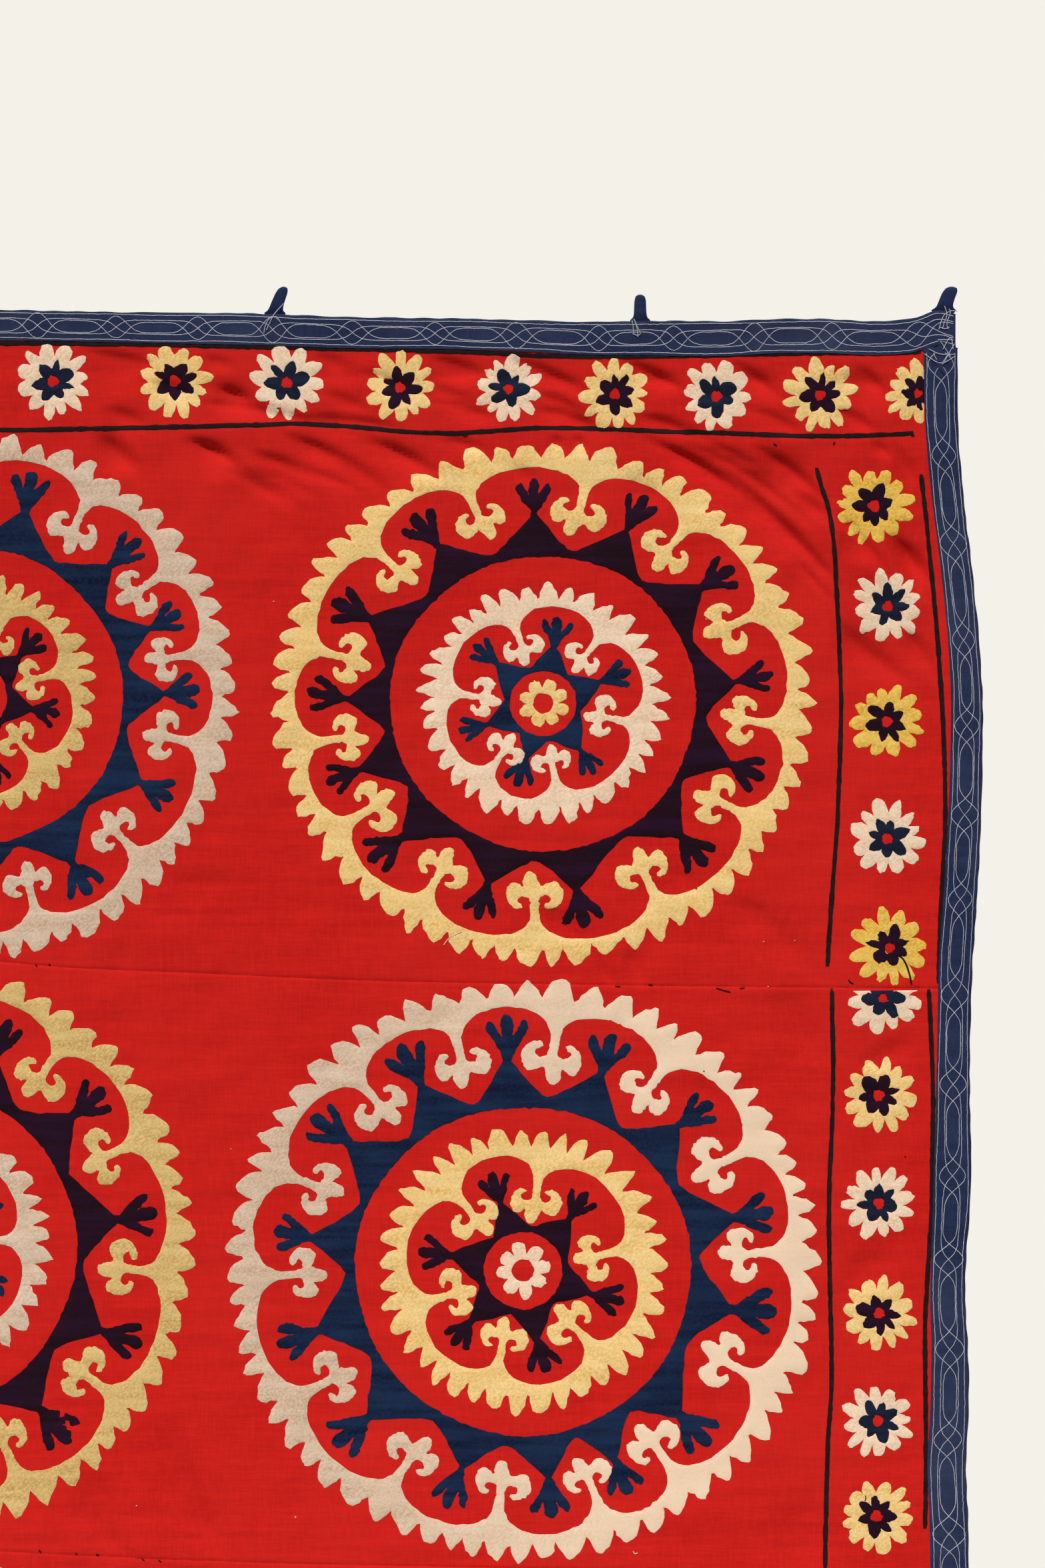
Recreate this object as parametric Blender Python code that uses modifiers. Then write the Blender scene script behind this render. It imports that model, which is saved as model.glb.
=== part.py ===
# A suzani wall hanging, as it hangs from five loops on its top edge.
# Three strips of red cotton lie edge to edge at two seams, a blue strip is folded
# over each outer edge as binding, and the loops are short lengths of blue tape.
# Metres, +Z up, the front faces -Y, the origin is the middle of the top edge.

import math
from collections import namedtuple

import bpy
import numpy as np

CLOTH_THICKNESS = 0.002
BINDING_THICKNESS = 0.001
TAPE_THICKNESS = 0.0015
PIECE_GAP = 0.0003
MESH_SLACK = 0.0001  # room for the flat facets of neighbouring curved pieces

# The blank margin that stays flat under and beside the binding, and the strip
# beyond it over which the folds grow to their full depth.
FLAT_MARGIN = 0.048
FOLD_FADE = 0.022

FINE_COLUMNS = 56  # cells across the two upper strips and the top binding
COARSE_COLUMNS = 28  # cells across the bottom strip and its binding
TOP_ROWS = 26
MIDDLE_ROWS = 18
BOTTOM_ROWS = 16
MARGIN_CELLS = 2  # of the fine columns, in each side margin
END_CELL = 0.012  # shortest last cell of a side binding
FOLD_SAMPLES = 24
FOLD_END = 0.06  # share of a fold's length at which it is cut off blunt
FOLD_FULLNESS = 0.7  # below 1 a fold keeps its depth over more of its length
PLACE_ROUNDS = 4  # rounds to find a point where the side and level lines cross

EdgePoint = namedtuple("EdgePoint", "along across")

# Top, seams and bottom: x along the edge, z of the edge.
TOP_EDGE = (
    EdgePoint(-0.764, 0.000), EdgePoint(-0.743, 0.004), EdgePoint(-0.715, -0.003),
    EdgePoint(-0.660, -0.006), EdgePoint(-0.600, -0.005), EdgePoint(-0.520, -0.003),
    EdgePoint(-0.430, 0.001), EdgePoint(-0.360, 0.003), EdgePoint(-0.283, 0.004),
    EdgePoint(-0.174, 0.002), EdgePoint(-0.064, 0.001), EdgePoint(0.009, 0.000),
    EdgePoint(0.082, -0.003), EdgePoint(0.210, -0.005), EdgePoint(0.289, -0.007),
    EdgePoint(0.362, -0.009), EdgePoint(0.435, -0.008), EdgePoint(0.523, -0.008),
    EdgePoint(0.563, -0.006), EdgePoint(0.625, -0.006), EdgePoint(0.672, -0.008),
    EdgePoint(0.720, -0.004), EdgePoint(0.745, 0.004), EdgePoint(0.764, 0.000),
)
UPPER_SEAM = (
    EdgePoint(-0.790, -0.709), EdgePoint(-0.560, -0.705), EdgePoint(-0.420, -0.706),
    EdgePoint(-0.283, -0.710), EdgePoint(-0.212, -0.716), EdgePoint(-0.078, -0.722),
    EdgePoint(0.127, -0.731), EdgePoint(0.301, -0.734), EdgePoint(0.433, -0.736),
    EdgePoint(0.794, -0.740),
)
LOWER_SEAM = (
    EdgePoint(-0.790, -1.352), EdgePoint(-0.600, -1.349), EdgePoint(-0.430, -1.350),
    EdgePoint(-0.283, -1.355), EdgePoint(-0.109, -1.364), EdgePoint(0.025, -1.369),
    EdgePoint(0.250, -1.373), EdgePoint(0.500, -1.377), EdgePoint(0.790, -1.380),
)
BOTTOM_EDGE = (
    EdgePoint(-0.770, -2.072), EdgePoint(-0.600, -2.079), EdgePoint(-0.420, -2.075),
    EdgePoint(-0.200, -2.083), EdgePoint(0.000, -2.086), EdgePoint(0.210, -2.082),
    EdgePoint(0.400, -2.089), EdgePoint(0.590, -2.086), EdgePoint(0.770, -2.079),
)

# Sides: z along the edge, x of the edge, from the bottom up.
RIGHT_EDGE = (
    EdgePoint(-2.090, 0.769), EdgePoint(-1.950, 0.772), EdgePoint(-1.800, 0.776),
    EdgePoint(-1.650, 0.773), EdgePoint(-1.500, 0.776), EdgePoint(-1.400, 0.779),
    EdgePoint(-1.313, 0.778), EdgePoint(-1.258, 0.776), EdgePoint(-1.203, 0.779),
    EdgePoint(-1.130, 0.778), EdgePoint(-1.079, 0.775), EdgePoint(-1.039, 0.776),
    EdgePoint(-0.966, 0.781), EdgePoint(-0.825, 0.780), EdgePoint(-0.715, 0.783),
    EdgePoint(-0.624, 0.789), EdgePoint(-0.533, 0.793), EdgePoint(-0.478, 0.794),
    EdgePoint(-0.423, 0.794), EdgePoint(-0.369, 0.791), EdgePoint(-0.277, 0.782),
    EdgePoint(-0.201, 0.773), EdgePoint(-0.124, 0.767), EdgePoint(-0.037, 0.766),
    EdgePoint(0.005, 0.763),
)
LEFT_EDGE = (
    EdgePoint(-2.090, -0.768), EdgePoint(-1.900, -0.774), EdgePoint(-1.700, -0.772),
    EdgePoint(-1.500, -0.777), EdgePoint(-1.300, -0.779), EdgePoint(-1.100, -0.775),
    EdgePoint(-0.900, -0.780), EdgePoint(-0.720, -0.783), EdgePoint(-0.560, -0.790),
    EdgePoint(-0.420, -0.789), EdgePoint(-0.280, -0.780), EdgePoint(-0.120, -0.768),
    EdgePoint(0.005, -0.763),
)

# Width of the binding's leaf, which was sewn on by eye.
TOP_LEAF = (
    EdgePoint(-0.770, 0.036), EdgePoint(-0.450, 0.038), EdgePoint(-0.283, 0.034),
    EdgePoint(0.010, 0.035), EdgePoint(0.289, 0.035), EdgePoint(0.472, 0.039),
    EdgePoint(0.581, 0.038), EdgePoint(0.770, 0.038),
)
BOTTOM_LEAF = (
    EdgePoint(-0.770, 0.038), EdgePoint(-0.250, 0.036), EdgePoint(0.200, 0.040),
    EdgePoint(0.770, 0.037),
)
RIGHT_LEAF = (
    EdgePoint(-2.090, 0.038), EdgePoint(-1.700, 0.040), EdgePoint(-1.345, 0.043),
    EdgePoint(-1.200, 0.043), EdgePoint(-1.050, 0.039), EdgePoint(-0.966, 0.042),
    EdgePoint(-0.825, 0.037), EdgePoint(-0.680, 0.038), EdgePoint(-0.477, 0.036),
    EdgePoint(-0.370, 0.035), EdgePoint(-0.168, 0.036), EdgePoint(0.005, 0.039),
)
LEFT_LEAF = (
    EdgePoint(-2.090, 0.037), EdgePoint(-1.500, 0.041), EdgePoint(-1.000, 0.038),
    EdgePoint(-0.500, 0.036), EdgePoint(0.005, 0.038),
)

# Folds: an axis from its start through its middle to its end, the half width of the
# trough, and how far it falls back. A ridge that comes forward has a negative depth.
Fold = namedtuple("Fold", "x0 z0 xm zm x1 z1 reach depth")
FOLDS = (
    # Stress folds that fall from the top edge towards the right edge.
    Fold(0.440, -0.138, 0.526, -0.187, 0.619, -0.276, 0.016, 0.0085),
    Fold(0.508, -0.143, 0.562, -0.178, 0.622, -0.217, 0.014, 0.0060),
    Fold(0.560, -0.140, 0.584, -0.165, 0.612, -0.190, 0.016, 0.0050),
    Fold(0.622, -0.216, 0.655, -0.250, 0.684, -0.284, 0.015, -0.0050),
    Fold(0.700, -0.240, 0.724, -0.276, 0.744, -0.316, 0.014, 0.0065),
    Fold(0.668, -0.240, 0.704, -0.282, 0.735, -0.330, 0.013, -0.0045),
    Fold(0.585, -0.276, 0.606, -0.298, 0.632, -0.320, 0.018, 0.0040),
    Fold(0.637, -0.336, 0.670, -0.365, 0.704, -0.391, 0.020, 0.0040),
    # Short dips along the flower border at the top.
    Fold(-0.194, -0.040, -0.158, -0.050, -0.120, -0.060, 0.014, 0.0040),
    Fold(-0.165, -0.100, -0.142, -0.109, -0.120, -0.120, 0.014, 0.0030),
    Fold(-0.050, -0.071, -0.022, -0.086, 0.004, -0.100, 0.014, 0.0060),
    Fold(0.060, -0.040, 0.090, -0.053, 0.118, -0.067, 0.014, 0.0040),
    Fold(0.045, -0.112, 0.086, -0.124, 0.126, -0.136, 0.014, 0.0040),
    Fold(0.178, -0.041, 0.210, -0.051, 0.244, -0.063, 0.014, 0.0060),
    Fold(0.280, -0.047, 0.315, -0.059, 0.352, -0.075, 0.014, 0.0050),
    Fold(0.300, -0.096, 0.345, -0.112, 0.390, -0.128, 0.014, 0.0040),
    Fold(0.406, -0.051, 0.436, -0.064, 0.466, -0.078, 0.014, 0.0060),
    Fold(0.430, -0.112, 0.460, -0.123, 0.490, -0.132, 0.013, 0.0040),
    Fold(0.525, -0.050, 0.551, -0.068, 0.578, -0.088, 0.015, 0.0050),
    Fold(0.634, -0.048, 0.664, -0.068, 0.696, -0.089, 0.016, 0.0050),
    # Slanting folds in the field just below the border.
    Fold(-0.170, -0.130, -0.151, -0.148, -0.132, -0.167, 0.015, 0.0040),
    Fold(-0.070, -0.136, -0.047, -0.149, -0.022, -0.165, 0.014, 0.0060),
    Fold(-0.023, -0.172, 0.002, -0.196, 0.028, -0.226, 0.017, 0.0030),
    Fold(0.038, -0.132, 0.067, -0.149, 0.096, -0.167, 0.014, 0.0060),
    Fold(0.067, -0.168, 0.106, -0.182, 0.147, -0.195, 0.016, 0.0030),
    Fold(0.122, -0.132, 0.159, -0.150, 0.196, -0.170, 0.014, 0.0050),
    Fold(0.400, -0.174, 0.426, -0.188, 0.452, -0.202, 0.015, 0.0040),
    # The left end of the hanging, pulled towards the left edge.
    Fold(-0.440, -0.140, -0.520, -0.190, -0.612, -0.270, 0.017, 0.0070),
    Fold(-0.505, -0.150, -0.562, -0.184, -0.618, -0.222, 0.015, 0.0050),
    Fold(-0.636, -0.228, -0.664, -0.260, -0.690, -0.292, 0.016, -0.0045),
    Fold(-0.706, -0.255, -0.727, -0.286, -0.744, -0.320, 0.015, 0.0060),
    Fold(-0.300, -0.050, -0.328, -0.063, -0.356, -0.078, 0.014, 0.0050),
    Fold(-0.415, -0.054, -0.440, -0.067, -0.466, -0.081, 0.014, 0.0050),
    Fold(-0.532, -0.052, -0.556, -0.068, -0.581, -0.088, 0.015, 0.0045),
    Fold(-0.640, -0.050, -0.666, -0.066, -0.692, -0.085, 0.015, 0.0050),
    # Creases at the first seam and in the middle strip.
    Fold(0.500, -0.628, 0.560, -0.672, 0.622, -0.722, 0.014, 0.0030),
    Fold(0.580, -0.740, 0.600, -0.776, 0.622, -0.818, 0.015, 0.0030),
    Fold(0.640, -1.066, 0.664, -1.046, 0.692, -1.022, 0.022, 0.0040),
    Fold(0.582, -1.362, 0.594, -1.328, 0.614, -1.290, 0.022, 0.0045),
    Fold(-0.192, -1.258, -0.170, -1.312, -0.142, -1.372, 0.018, 0.0045),
    Fold(-0.106, -1.216, -0.072, -1.290, -0.034, -1.368, 0.019, 0.0060),
    Fold(-0.240, -1.144, -0.222, -1.172, -0.204, -1.204, 0.020, 0.0040),
    # Long soft drapes that the weight of the lower half makes.
    Fold(-0.560, -0.800, -0.545, -1.050, -0.575, -1.320, 0.032, 0.0050),
    Fold(0.180, -0.860, 0.195, -1.080, 0.176, -1.300, 0.034, 0.0030),
    Fold(-0.430, -1.480, -0.405, -1.680, -0.385, -1.900, 0.030, 0.0060),
    Fold(0.050, -1.470, 0.080, -1.640, 0.095, -1.820, 0.032, 0.0050),
    Fold(0.490, -1.500, 0.465, -1.700, 0.455, -1.920, 0.030, 0.0060),
    Fold(-0.140, -1.780, -0.125, -1.880, -0.130, -1.990, 0.028, -0.0045),
    Fold(0.650, -1.620, 0.662, -1.800, 0.655, -1.980, 0.028, 0.0045),
)

# Slow bows of the whole cloth: the length of one wave, where it starts, its height
# at the top edge and at the bottom edge.
Bow = namedtuple("Bow", "wave start top bottom")
BOWS = (
    Bow(0.840, 0.12, 0.0020, 0.0090),
    Bow(1.330, 0.61, 0.0014, 0.0065),
)

# Loops: x of the foot, height over the edge, how far the crown leans in x, the tape's
# width at the foot and at the crown.
Loop = namedtuple("Loop", "name x height lean foot crown")
LOOPS = (
    Loop("loop_1", -0.751, 0.026, -0.0070, 0.0150, 0.0120),
    Loop("loop_2", -0.416, 0.029, -0.0020, 0.0130, 0.0110),
    Loop("loop_3", 0.0175, 0.030, 0.0100, 0.0150, 0.0100),
    Loop("loop_4", 0.4180, 0.029, 0.0000, 0.0140, 0.0120),
    Loop("loop_5", 0.7500, 0.0265, 0.0080, 0.0155, 0.0130),
)
LOOP_LEG = 0.014
LOOP_OPENING = 0.006
LOOP_BULGE_HEIGHT = 0.013
CROWN_STEPS = 6
LEG_STEPS = 5

COTTON_RED = (0.522, 0.014, 0.010, 1.0)
BINDING_BLUE = (0.018, 0.032, 0.110, 1.0)
TAPE_BLUE = (0.016, 0.028, 0.100, 1.0)
CLOTH_ROUGHNESS = 0.85

LEAF_MIDDLE = CLOTH_THICKNESS / 2 + PIECE_GAP + BINDING_THICKNESS / 2
FOLD_APEX = BINDING_THICKNESS / 2
FOLD_SHOULDER = FOLD_APEX + LEAF_MIDDLE
# The cloth stops where its corners clear the slanting sides of the binding's fold.
CLOTH_INSET = (
    FOLD_APEX + CLOTH_THICKNESS / 2
    + math.sqrt(2) * (BINDING_THICKNESS / 2 + PIECE_GAP)
)
BINDING_BACK = LEAF_MIDDLE + BINDING_THICKNESS / 2


def curve_value(points, place):
    """Height of a smooth curve through the points, at one place or many."""
    along = np.array([point.along for point in points])
    across = np.array([point.across for point in points])
    slopes = np.gradient(across, along)
    place = np.clip(place, along[0], along[-1])
    index = np.clip(np.searchsorted(along, place) - 1, 0, len(along) - 2)
    span = along[index + 1] - along[index]
    t = (place - along[index]) / span
    start = (1 + 2 * t) * (1 - t) ** 2 * across[index]
    end = t ** 2 * (3 - 2 * t) * across[index + 1]
    leave = t * (1 - t) ** 2 * span * slopes[index]
    arrive = t ** 2 * (t - 1) * span * slopes[index + 1]
    return start + end + leave + arrive


def smooth_step(value):
    value = np.clip(value, 0.0, 1.0)
    return value * value * (3 - 2 * value)


def margin_inside(x, z):
    """Distance of a point of the cloth from the nearest outer edge."""
    from_left = x - curve_value(LEFT_EDGE, z)
    from_right = curve_value(RIGHT_EDGE, z) - x
    from_top = curve_value(TOP_EDGE, x) - z
    from_bottom = z - curve_value(BOTTOM_EDGE, x)
    sides = np.minimum(from_left, from_right)
    return np.minimum(sides, np.minimum(from_top, from_bottom))


def fold_depth(fold, x, z):
    """How far one fold moves the points back: deepest on its axis, nothing at its ends."""
    nearest = np.full(np.shape(x), np.inf)
    share = np.zeros(np.shape(x))
    for step in range(FOLD_SAMPLES + 1):
        t = step / FOLD_SAMPLES
        axis_x = (1 - t) ** 2 * fold.x0 + 2 * t * (1 - t) * fold.xm + t ** 2 * fold.x1
        axis_z = (1 - t) ** 2 * fold.z0 + 2 * t * (1 - t) * fold.zm + t ** 2 * fold.z1
        distance = np.hypot(x - axis_x, z - axis_z)
        closer = distance < nearest
        nearest = np.where(closer, distance, nearest)
        share = np.where(closer, t, share)
    along = np.sin(math.pi * np.clip(share, FOLD_END, 1 - FOLD_END)) ** FOLD_FULLNESS
    return fold.depth * along * np.exp(-(nearest / fold.reach) ** 2)


def hang_depth(x, z):
    """y of the middle of the cloth where it hangs."""
    x = np.asarray(x, dtype=float)
    z = np.asarray(z, dtype=float)
    height = curve_value(TOP_EDGE, x) - curve_value(BOTTOM_EDGE, x)
    down = np.clip((curve_value(TOP_EDGE, x) - z) / height, 0.0, 1.0)
    depth = np.zeros(np.shape(x))
    for bow in BOWS:
        swing = np.sin(2 * math.pi * (x / bow.wave + bow.start))
        depth = depth + swing * (bow.top + (bow.bottom - bow.top) * down)
    folds = np.zeros(np.shape(x))
    for fold in FOLDS:
        folds = folds + fold_depth(fold, x, z)
    return depth + folds * smooth_step((margin_inside(x, z) - FLAT_MARGIN) / FOLD_FADE)


def share_stations(cells, length, first_margin, last_margin):
    """Shares from 0 to 1 with a station at each margin and even ones between."""
    shares = [0.0]
    first = FLAT_MARGIN / length if first_margin else 0.0
    last = 1.0 - (FLAT_MARGIN / length if last_margin else 0.0)
    inner = cells - first_margin - last_margin
    for step in range(first_margin):
        shares.append(first * (step + 1) / first_margin)
    for step in range(inner):
        shares.append(first + (last - first) * (step + 1) / inner)
    for step in range(last_margin):
        shares.append(last + (1.0 - last) * (step + 1) / last_margin)
    return np.array(shares)


def cloth_place(across, down, upper_edge, lower_edge, upper_inset, lower_inset):
    """x and z of a point of a strip, from its share of the width and of the height."""
    x = (across - 0.5) * 2 * RIGHT_EDGE[0].across
    for _ in range(PLACE_ROUNDS):
        upper = curve_value(upper_edge, x) - upper_inset
        lower = curve_value(lower_edge, x) + lower_inset
        z = upper + (lower - upper) * down
        left = curve_value(LEFT_EDGE, z) + CLOTH_INSET
        right = curve_value(RIGHT_EDGE, z) - CLOTH_INSET
        x = left + (right - left) * across
    return x, z


def new_grid(name, columns, rows, collection):
    """A flat grid object whose vertices can be read by column and row."""
    bpy.ops.mesh.primitive_grid_add(x_subdivisions=columns, y_subdivisions=rows, size=1.0)
    grid = bpy.context.object
    grid.name = name
    grid.data.name = name
    for other in list(grid.users_collection):
        other.objects.unlink(grid)
    collection.objects.link(grid)
    return grid


def move_grid(grid, columns, rows, place):
    """Move each vertex to place(column, row), with row 0 at the top."""
    count = len(grid.data.vertices)
    flat = np.empty(count * 3)
    grid.data.vertices.foreach_get("co", flat)
    flat = flat.reshape(count, 3)
    column = np.rint((flat[:, 0] + 0.5) * columns).astype(int)
    row = np.rint((0.5 - flat[:, 1]) * rows).astype(int)
    x, y, z = place(column, row)
    flat[:, 0] = x
    flat[:, 1] = y
    flat[:, 2] = z
    grid.data.vertices.foreach_set("co", flat.ravel())
    grid.data.update()


def thicken(grid, thickness):
    wall = grid.modifiers.new("thickness", "SOLIDIFY")
    wall.thickness = thickness
    wall.offset = 0.0
    wall.use_even_offset = True


def cloth_material(name, colour):
    material = bpy.data.materials.new(name)
    material.use_nodes = True
    shader = material.node_tree.nodes["Principled BSDF"]
    shader.inputs["Base Color"].default_value = colour
    shader.inputs["Roughness"].default_value = CLOTH_ROUGHNESS
    shader.inputs["Metallic"].default_value = 0.0
    return material


def strip_rows(strip):
    """Share of the strip's height at each row."""
    height = strip["upper"][0].across - strip["lower"][0].across
    return share_stations(strip["rows"], height, strip["first_margin"], strip["last_margin"])


def cloth_columns(cells):
    """Both counts of columns share their stations, so that the seams meet."""
    margin_cells = MARGIN_CELLS * cells // FINE_COLUMNS
    width = RIGHT_EDGE[0].across - LEFT_EDGE[0].across
    return share_stations(cells, width, margin_cells, margin_cells)


def make_panel(name, strip, collection, material):
    """One strip of cotton between two edges."""
    columns = strip["columns"]
    rows = strip["rows"]
    across = cloth_columns(columns)
    down = strip_rows(strip)

    def place(column, row):
        x, z = cloth_place(
            across[column], down[row], strip["upper"], strip["lower"],
            strip["upper_inset"], strip["lower_inset"],
        )
        return x, hang_depth(x, z), z

    panel = new_grid(name, columns, rows, collection)
    move_grid(panel, columns, rows, place)
    thicken(panel, CLOTH_THICKNESS)
    panel.data.materials.append(material)
    return panel


def strips():
    """The three strips from the top down, with their edges and their grids."""
    return {
        "panel_top": dict(
            upper=TOP_EDGE, lower=UPPER_SEAM, columns=FINE_COLUMNS, rows=TOP_ROWS,
            upper_inset=CLOTH_INSET, lower_inset=PIECE_GAP / 2 + MESH_SLACK,
            first_margin=MARGIN_CELLS, last_margin=0,
        ),
        "panel_middle": dict(
            upper=UPPER_SEAM, lower=LOWER_SEAM, columns=FINE_COLUMNS, rows=MIDDLE_ROWS,
            upper_inset=PIECE_GAP / 2 + MESH_SLACK, lower_inset=PIECE_GAP / 2,
            first_margin=0, last_margin=0,
        ),
        "panel_bottom": dict(
            upper=LOWER_SEAM, lower=BOTTOM_EDGE, columns=COARSE_COLUMNS, rows=BOTTOM_ROWS,
            upper_inset=PIECE_GAP / 2, lower_inset=CLOTH_INSET,
            first_margin=0, last_margin=1,
        ),
    }


def leaf_profile(leaf_width):
    """Distance in from the edge and y across a folded strip, front leaf first."""
    inward = (
        leaf_width, np.full_like(leaf_width, FOLD_SHOULDER),
        np.full_like(leaf_width, FOLD_APEX),
        np.full_like(leaf_width, FOLD_SHOULDER), leaf_width,
    )
    side = (-LEAF_MIDDLE, -LEAF_MIDDLE, 0.0, LEAF_MIDDLE, LEAF_MIDDLE)
    return inward, side


def make_binding(name, stations, leaf, edge_place, collection, material):
    """A strip folded over one edge; edge_place gives x and z from a station and an inset."""
    inward, side = leaf_profile(curve_value(leaf, stations))
    inward = np.array(inward)
    side = np.array(side)
    columns = len(stations) - 1
    rows = len(side) - 1

    def place(column, row):
        x, z = edge_place(stations[column], inward[row, column])
        return x, hang_depth(x, z) + side[row], z

    binding = new_grid(name, columns, rows, collection)
    move_grid(binding, columns, rows, place)
    thicken(binding, BINDING_THICKNESS)
    binding.data.materials.append(material)
    return binding


def edge_stations_across(edge, cells):
    """x of each station of a top or bottom binding, from side to side."""
    left = curve_value(LEFT_EDGE, edge[0].across)
    right = curve_value(RIGHT_EDGE, edge[-1].across)
    return left + (right - left) * cloth_columns(cells)


def side_limits(x):
    """Lowest and highest z of a side binding, which butts against the other two."""
    top_x = edge_stations_across(TOP_EDGE, FINE_COLUMNS)
    top_z = curve_value(TOP_EDGE, top_x) - curve_value(TOP_LEAF, top_x)
    bottom_x = edge_stations_across(BOTTOM_EDGE, COARSE_COLUMNS)
    bottom_z = curve_value(BOTTOM_EDGE, bottom_x) + curve_value(BOTTOM_LEAF, bottom_x)
    room = PIECE_GAP + MESH_SLACK
    return np.interp(x, bottom_x, bottom_z) + room, np.interp(x, top_x, top_z) - room


def side_stations(edge, share):
    """z of each station of a side binding, from the bottom up, on the rows of the strips."""
    foot = edge[0]
    head = edge[-1]
    lowest = float(side_limits(foot.across)[0])
    highest = float(side_limits(head.across)[1])
    levels = []
    for strip in strips().values():
        for level in strip_rows(strip)[1:]:
            _, z = cloth_place(
                np.array([share]), level, strip["upper"], strip["lower"],
                strip["upper_inset"], strip["lower_inset"],
            )
            levels.append(float(z[0]))
    between = [z for z in levels if lowest + END_CELL < z < highest - END_CELL]
    return np.array([foot.along] + sorted(between) + [head.along])


def make_bindings(collection, material):
    top_x = edge_stations_across(TOP_EDGE, FINE_COLUMNS)
    bottom_x = edge_stations_across(BOTTOM_EDGE, COARSE_COLUMNS)

    def on_top(x, inset):
        return x, curve_value(TOP_EDGE, x) - inset

    def on_bottom(x, inset):
        return x, curve_value(BOTTOM_EDGE, x) + inset

    def on_side(edge, outward, z, inset):
        x = curve_value(edge, z) - outward * inset
        z = np.clip(z, *side_limits(x))
        return curve_value(edge, z) - outward * inset, z

    def on_right(z, inset):
        return on_side(RIGHT_EDGE, 1, z, inset)

    def on_left(z, inset):
        return on_side(LEFT_EDGE, -1, z, inset)

    right_z = side_stations(RIGHT_EDGE, 1.0)
    left_z = side_stations(LEFT_EDGE, 0.0)
    make_binding("binding_top", top_x, TOP_LEAF, on_top, collection, material)
    make_binding("binding_bottom", bottom_x, BOTTOM_LEAF, on_bottom, collection, material)
    make_binding("binding_right", right_z, RIGHT_LEAF, on_right, collection, material)
    make_binding("binding_left", left_z, LEFT_LEAF, on_left, collection, material)


def loop_path(height):
    """y and height over the edge along the folded tape, from one end to the other."""
    middle_y = BINDING_BACK + PIECE_GAP + MESH_SLACK + TAPE_THICKNESS + PIECE_GAP / 2
    closed = (TAPE_THICKNESS + PIECE_GAP) / 2
    opened = (TAPE_THICKNESS + LOOP_OPENING) / 2
    start = -TAPE_THICKNESS
    crown = height - TAPE_THICKNESS / 2 - opened
    half = [(closed, -LOOP_LEG)]
    for step in range(LEG_STEPS + 1):
        level = start + (crown - start) * step / LEG_STEPS
        rise = min(1.0, (level - start) / LOOP_BULGE_HEIGHT)
        half.append((closed + (opened - closed) * math.sin(math.pi / 2 * rise), level))
    arc = []
    for step in range(1, CROWN_STEPS):
        angle = math.pi * step / CROWN_STEPS
        arc.append((opened * math.cos(angle), crown + opened * math.sin(angle)))
    back = [(middle_y + across, level) for across, level in half]
    over = [(middle_y + across, level) for across, level in arc]
    front = [(middle_y - across, level) for across, level in reversed(half)]
    return np.array(back + over + front)


def make_loop(loop, collection, material):
    """A short tape folded over itself, both ends flat behind the binding."""
    path = loop_path(loop.height)
    rows = len(path) - 1
    edge_z = float(curve_value(TOP_EDGE, loop.x))

    def place(column, row):
        y = path[row, 0]
        level = path[row, 1]
        rise = np.clip(level / loop.height, 0.0, 1.0)
        width = loop.foot + (loop.crown - loop.foot) * rise
        x = loop.x + loop.lean * rise + (column - 0.5) * width
        z = edge_z + level
        return x, hang_depth(x, np.minimum(z, edge_z)) + y, z

    tape = new_grid(loop.name, 1, rows, collection)
    move_grid(tape, 1, rows, place)
    thicken(tape, TAPE_THICKNESS)
    tape.data.materials.append(material)
    return tape


def clear_scene():
    for item in list(bpy.data.objects):
        bpy.data.objects.remove(item, do_unlink=True)


def main():
    clear_scene()
    collection = bpy.data.collections.new("suzani_hanging")
    bpy.context.scene.collection.children.link(collection)
    red = cloth_material("red_cotton", COTTON_RED)
    blue = cloth_material("blue_binding", BINDING_BLUE)
    tape = cloth_material("blue_tape", TAPE_BLUE)
    for name, strip in strips().items():
        make_panel(name, strip, collection, red)
    make_bindings(collection, blue)
    for loop in LOOPS:
        make_loop(loop, collection, tape)


main()
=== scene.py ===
import math

import bpy
import numpy as np
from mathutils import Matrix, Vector
from mathutils.geometry import delaunay_2d_cdt


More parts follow.
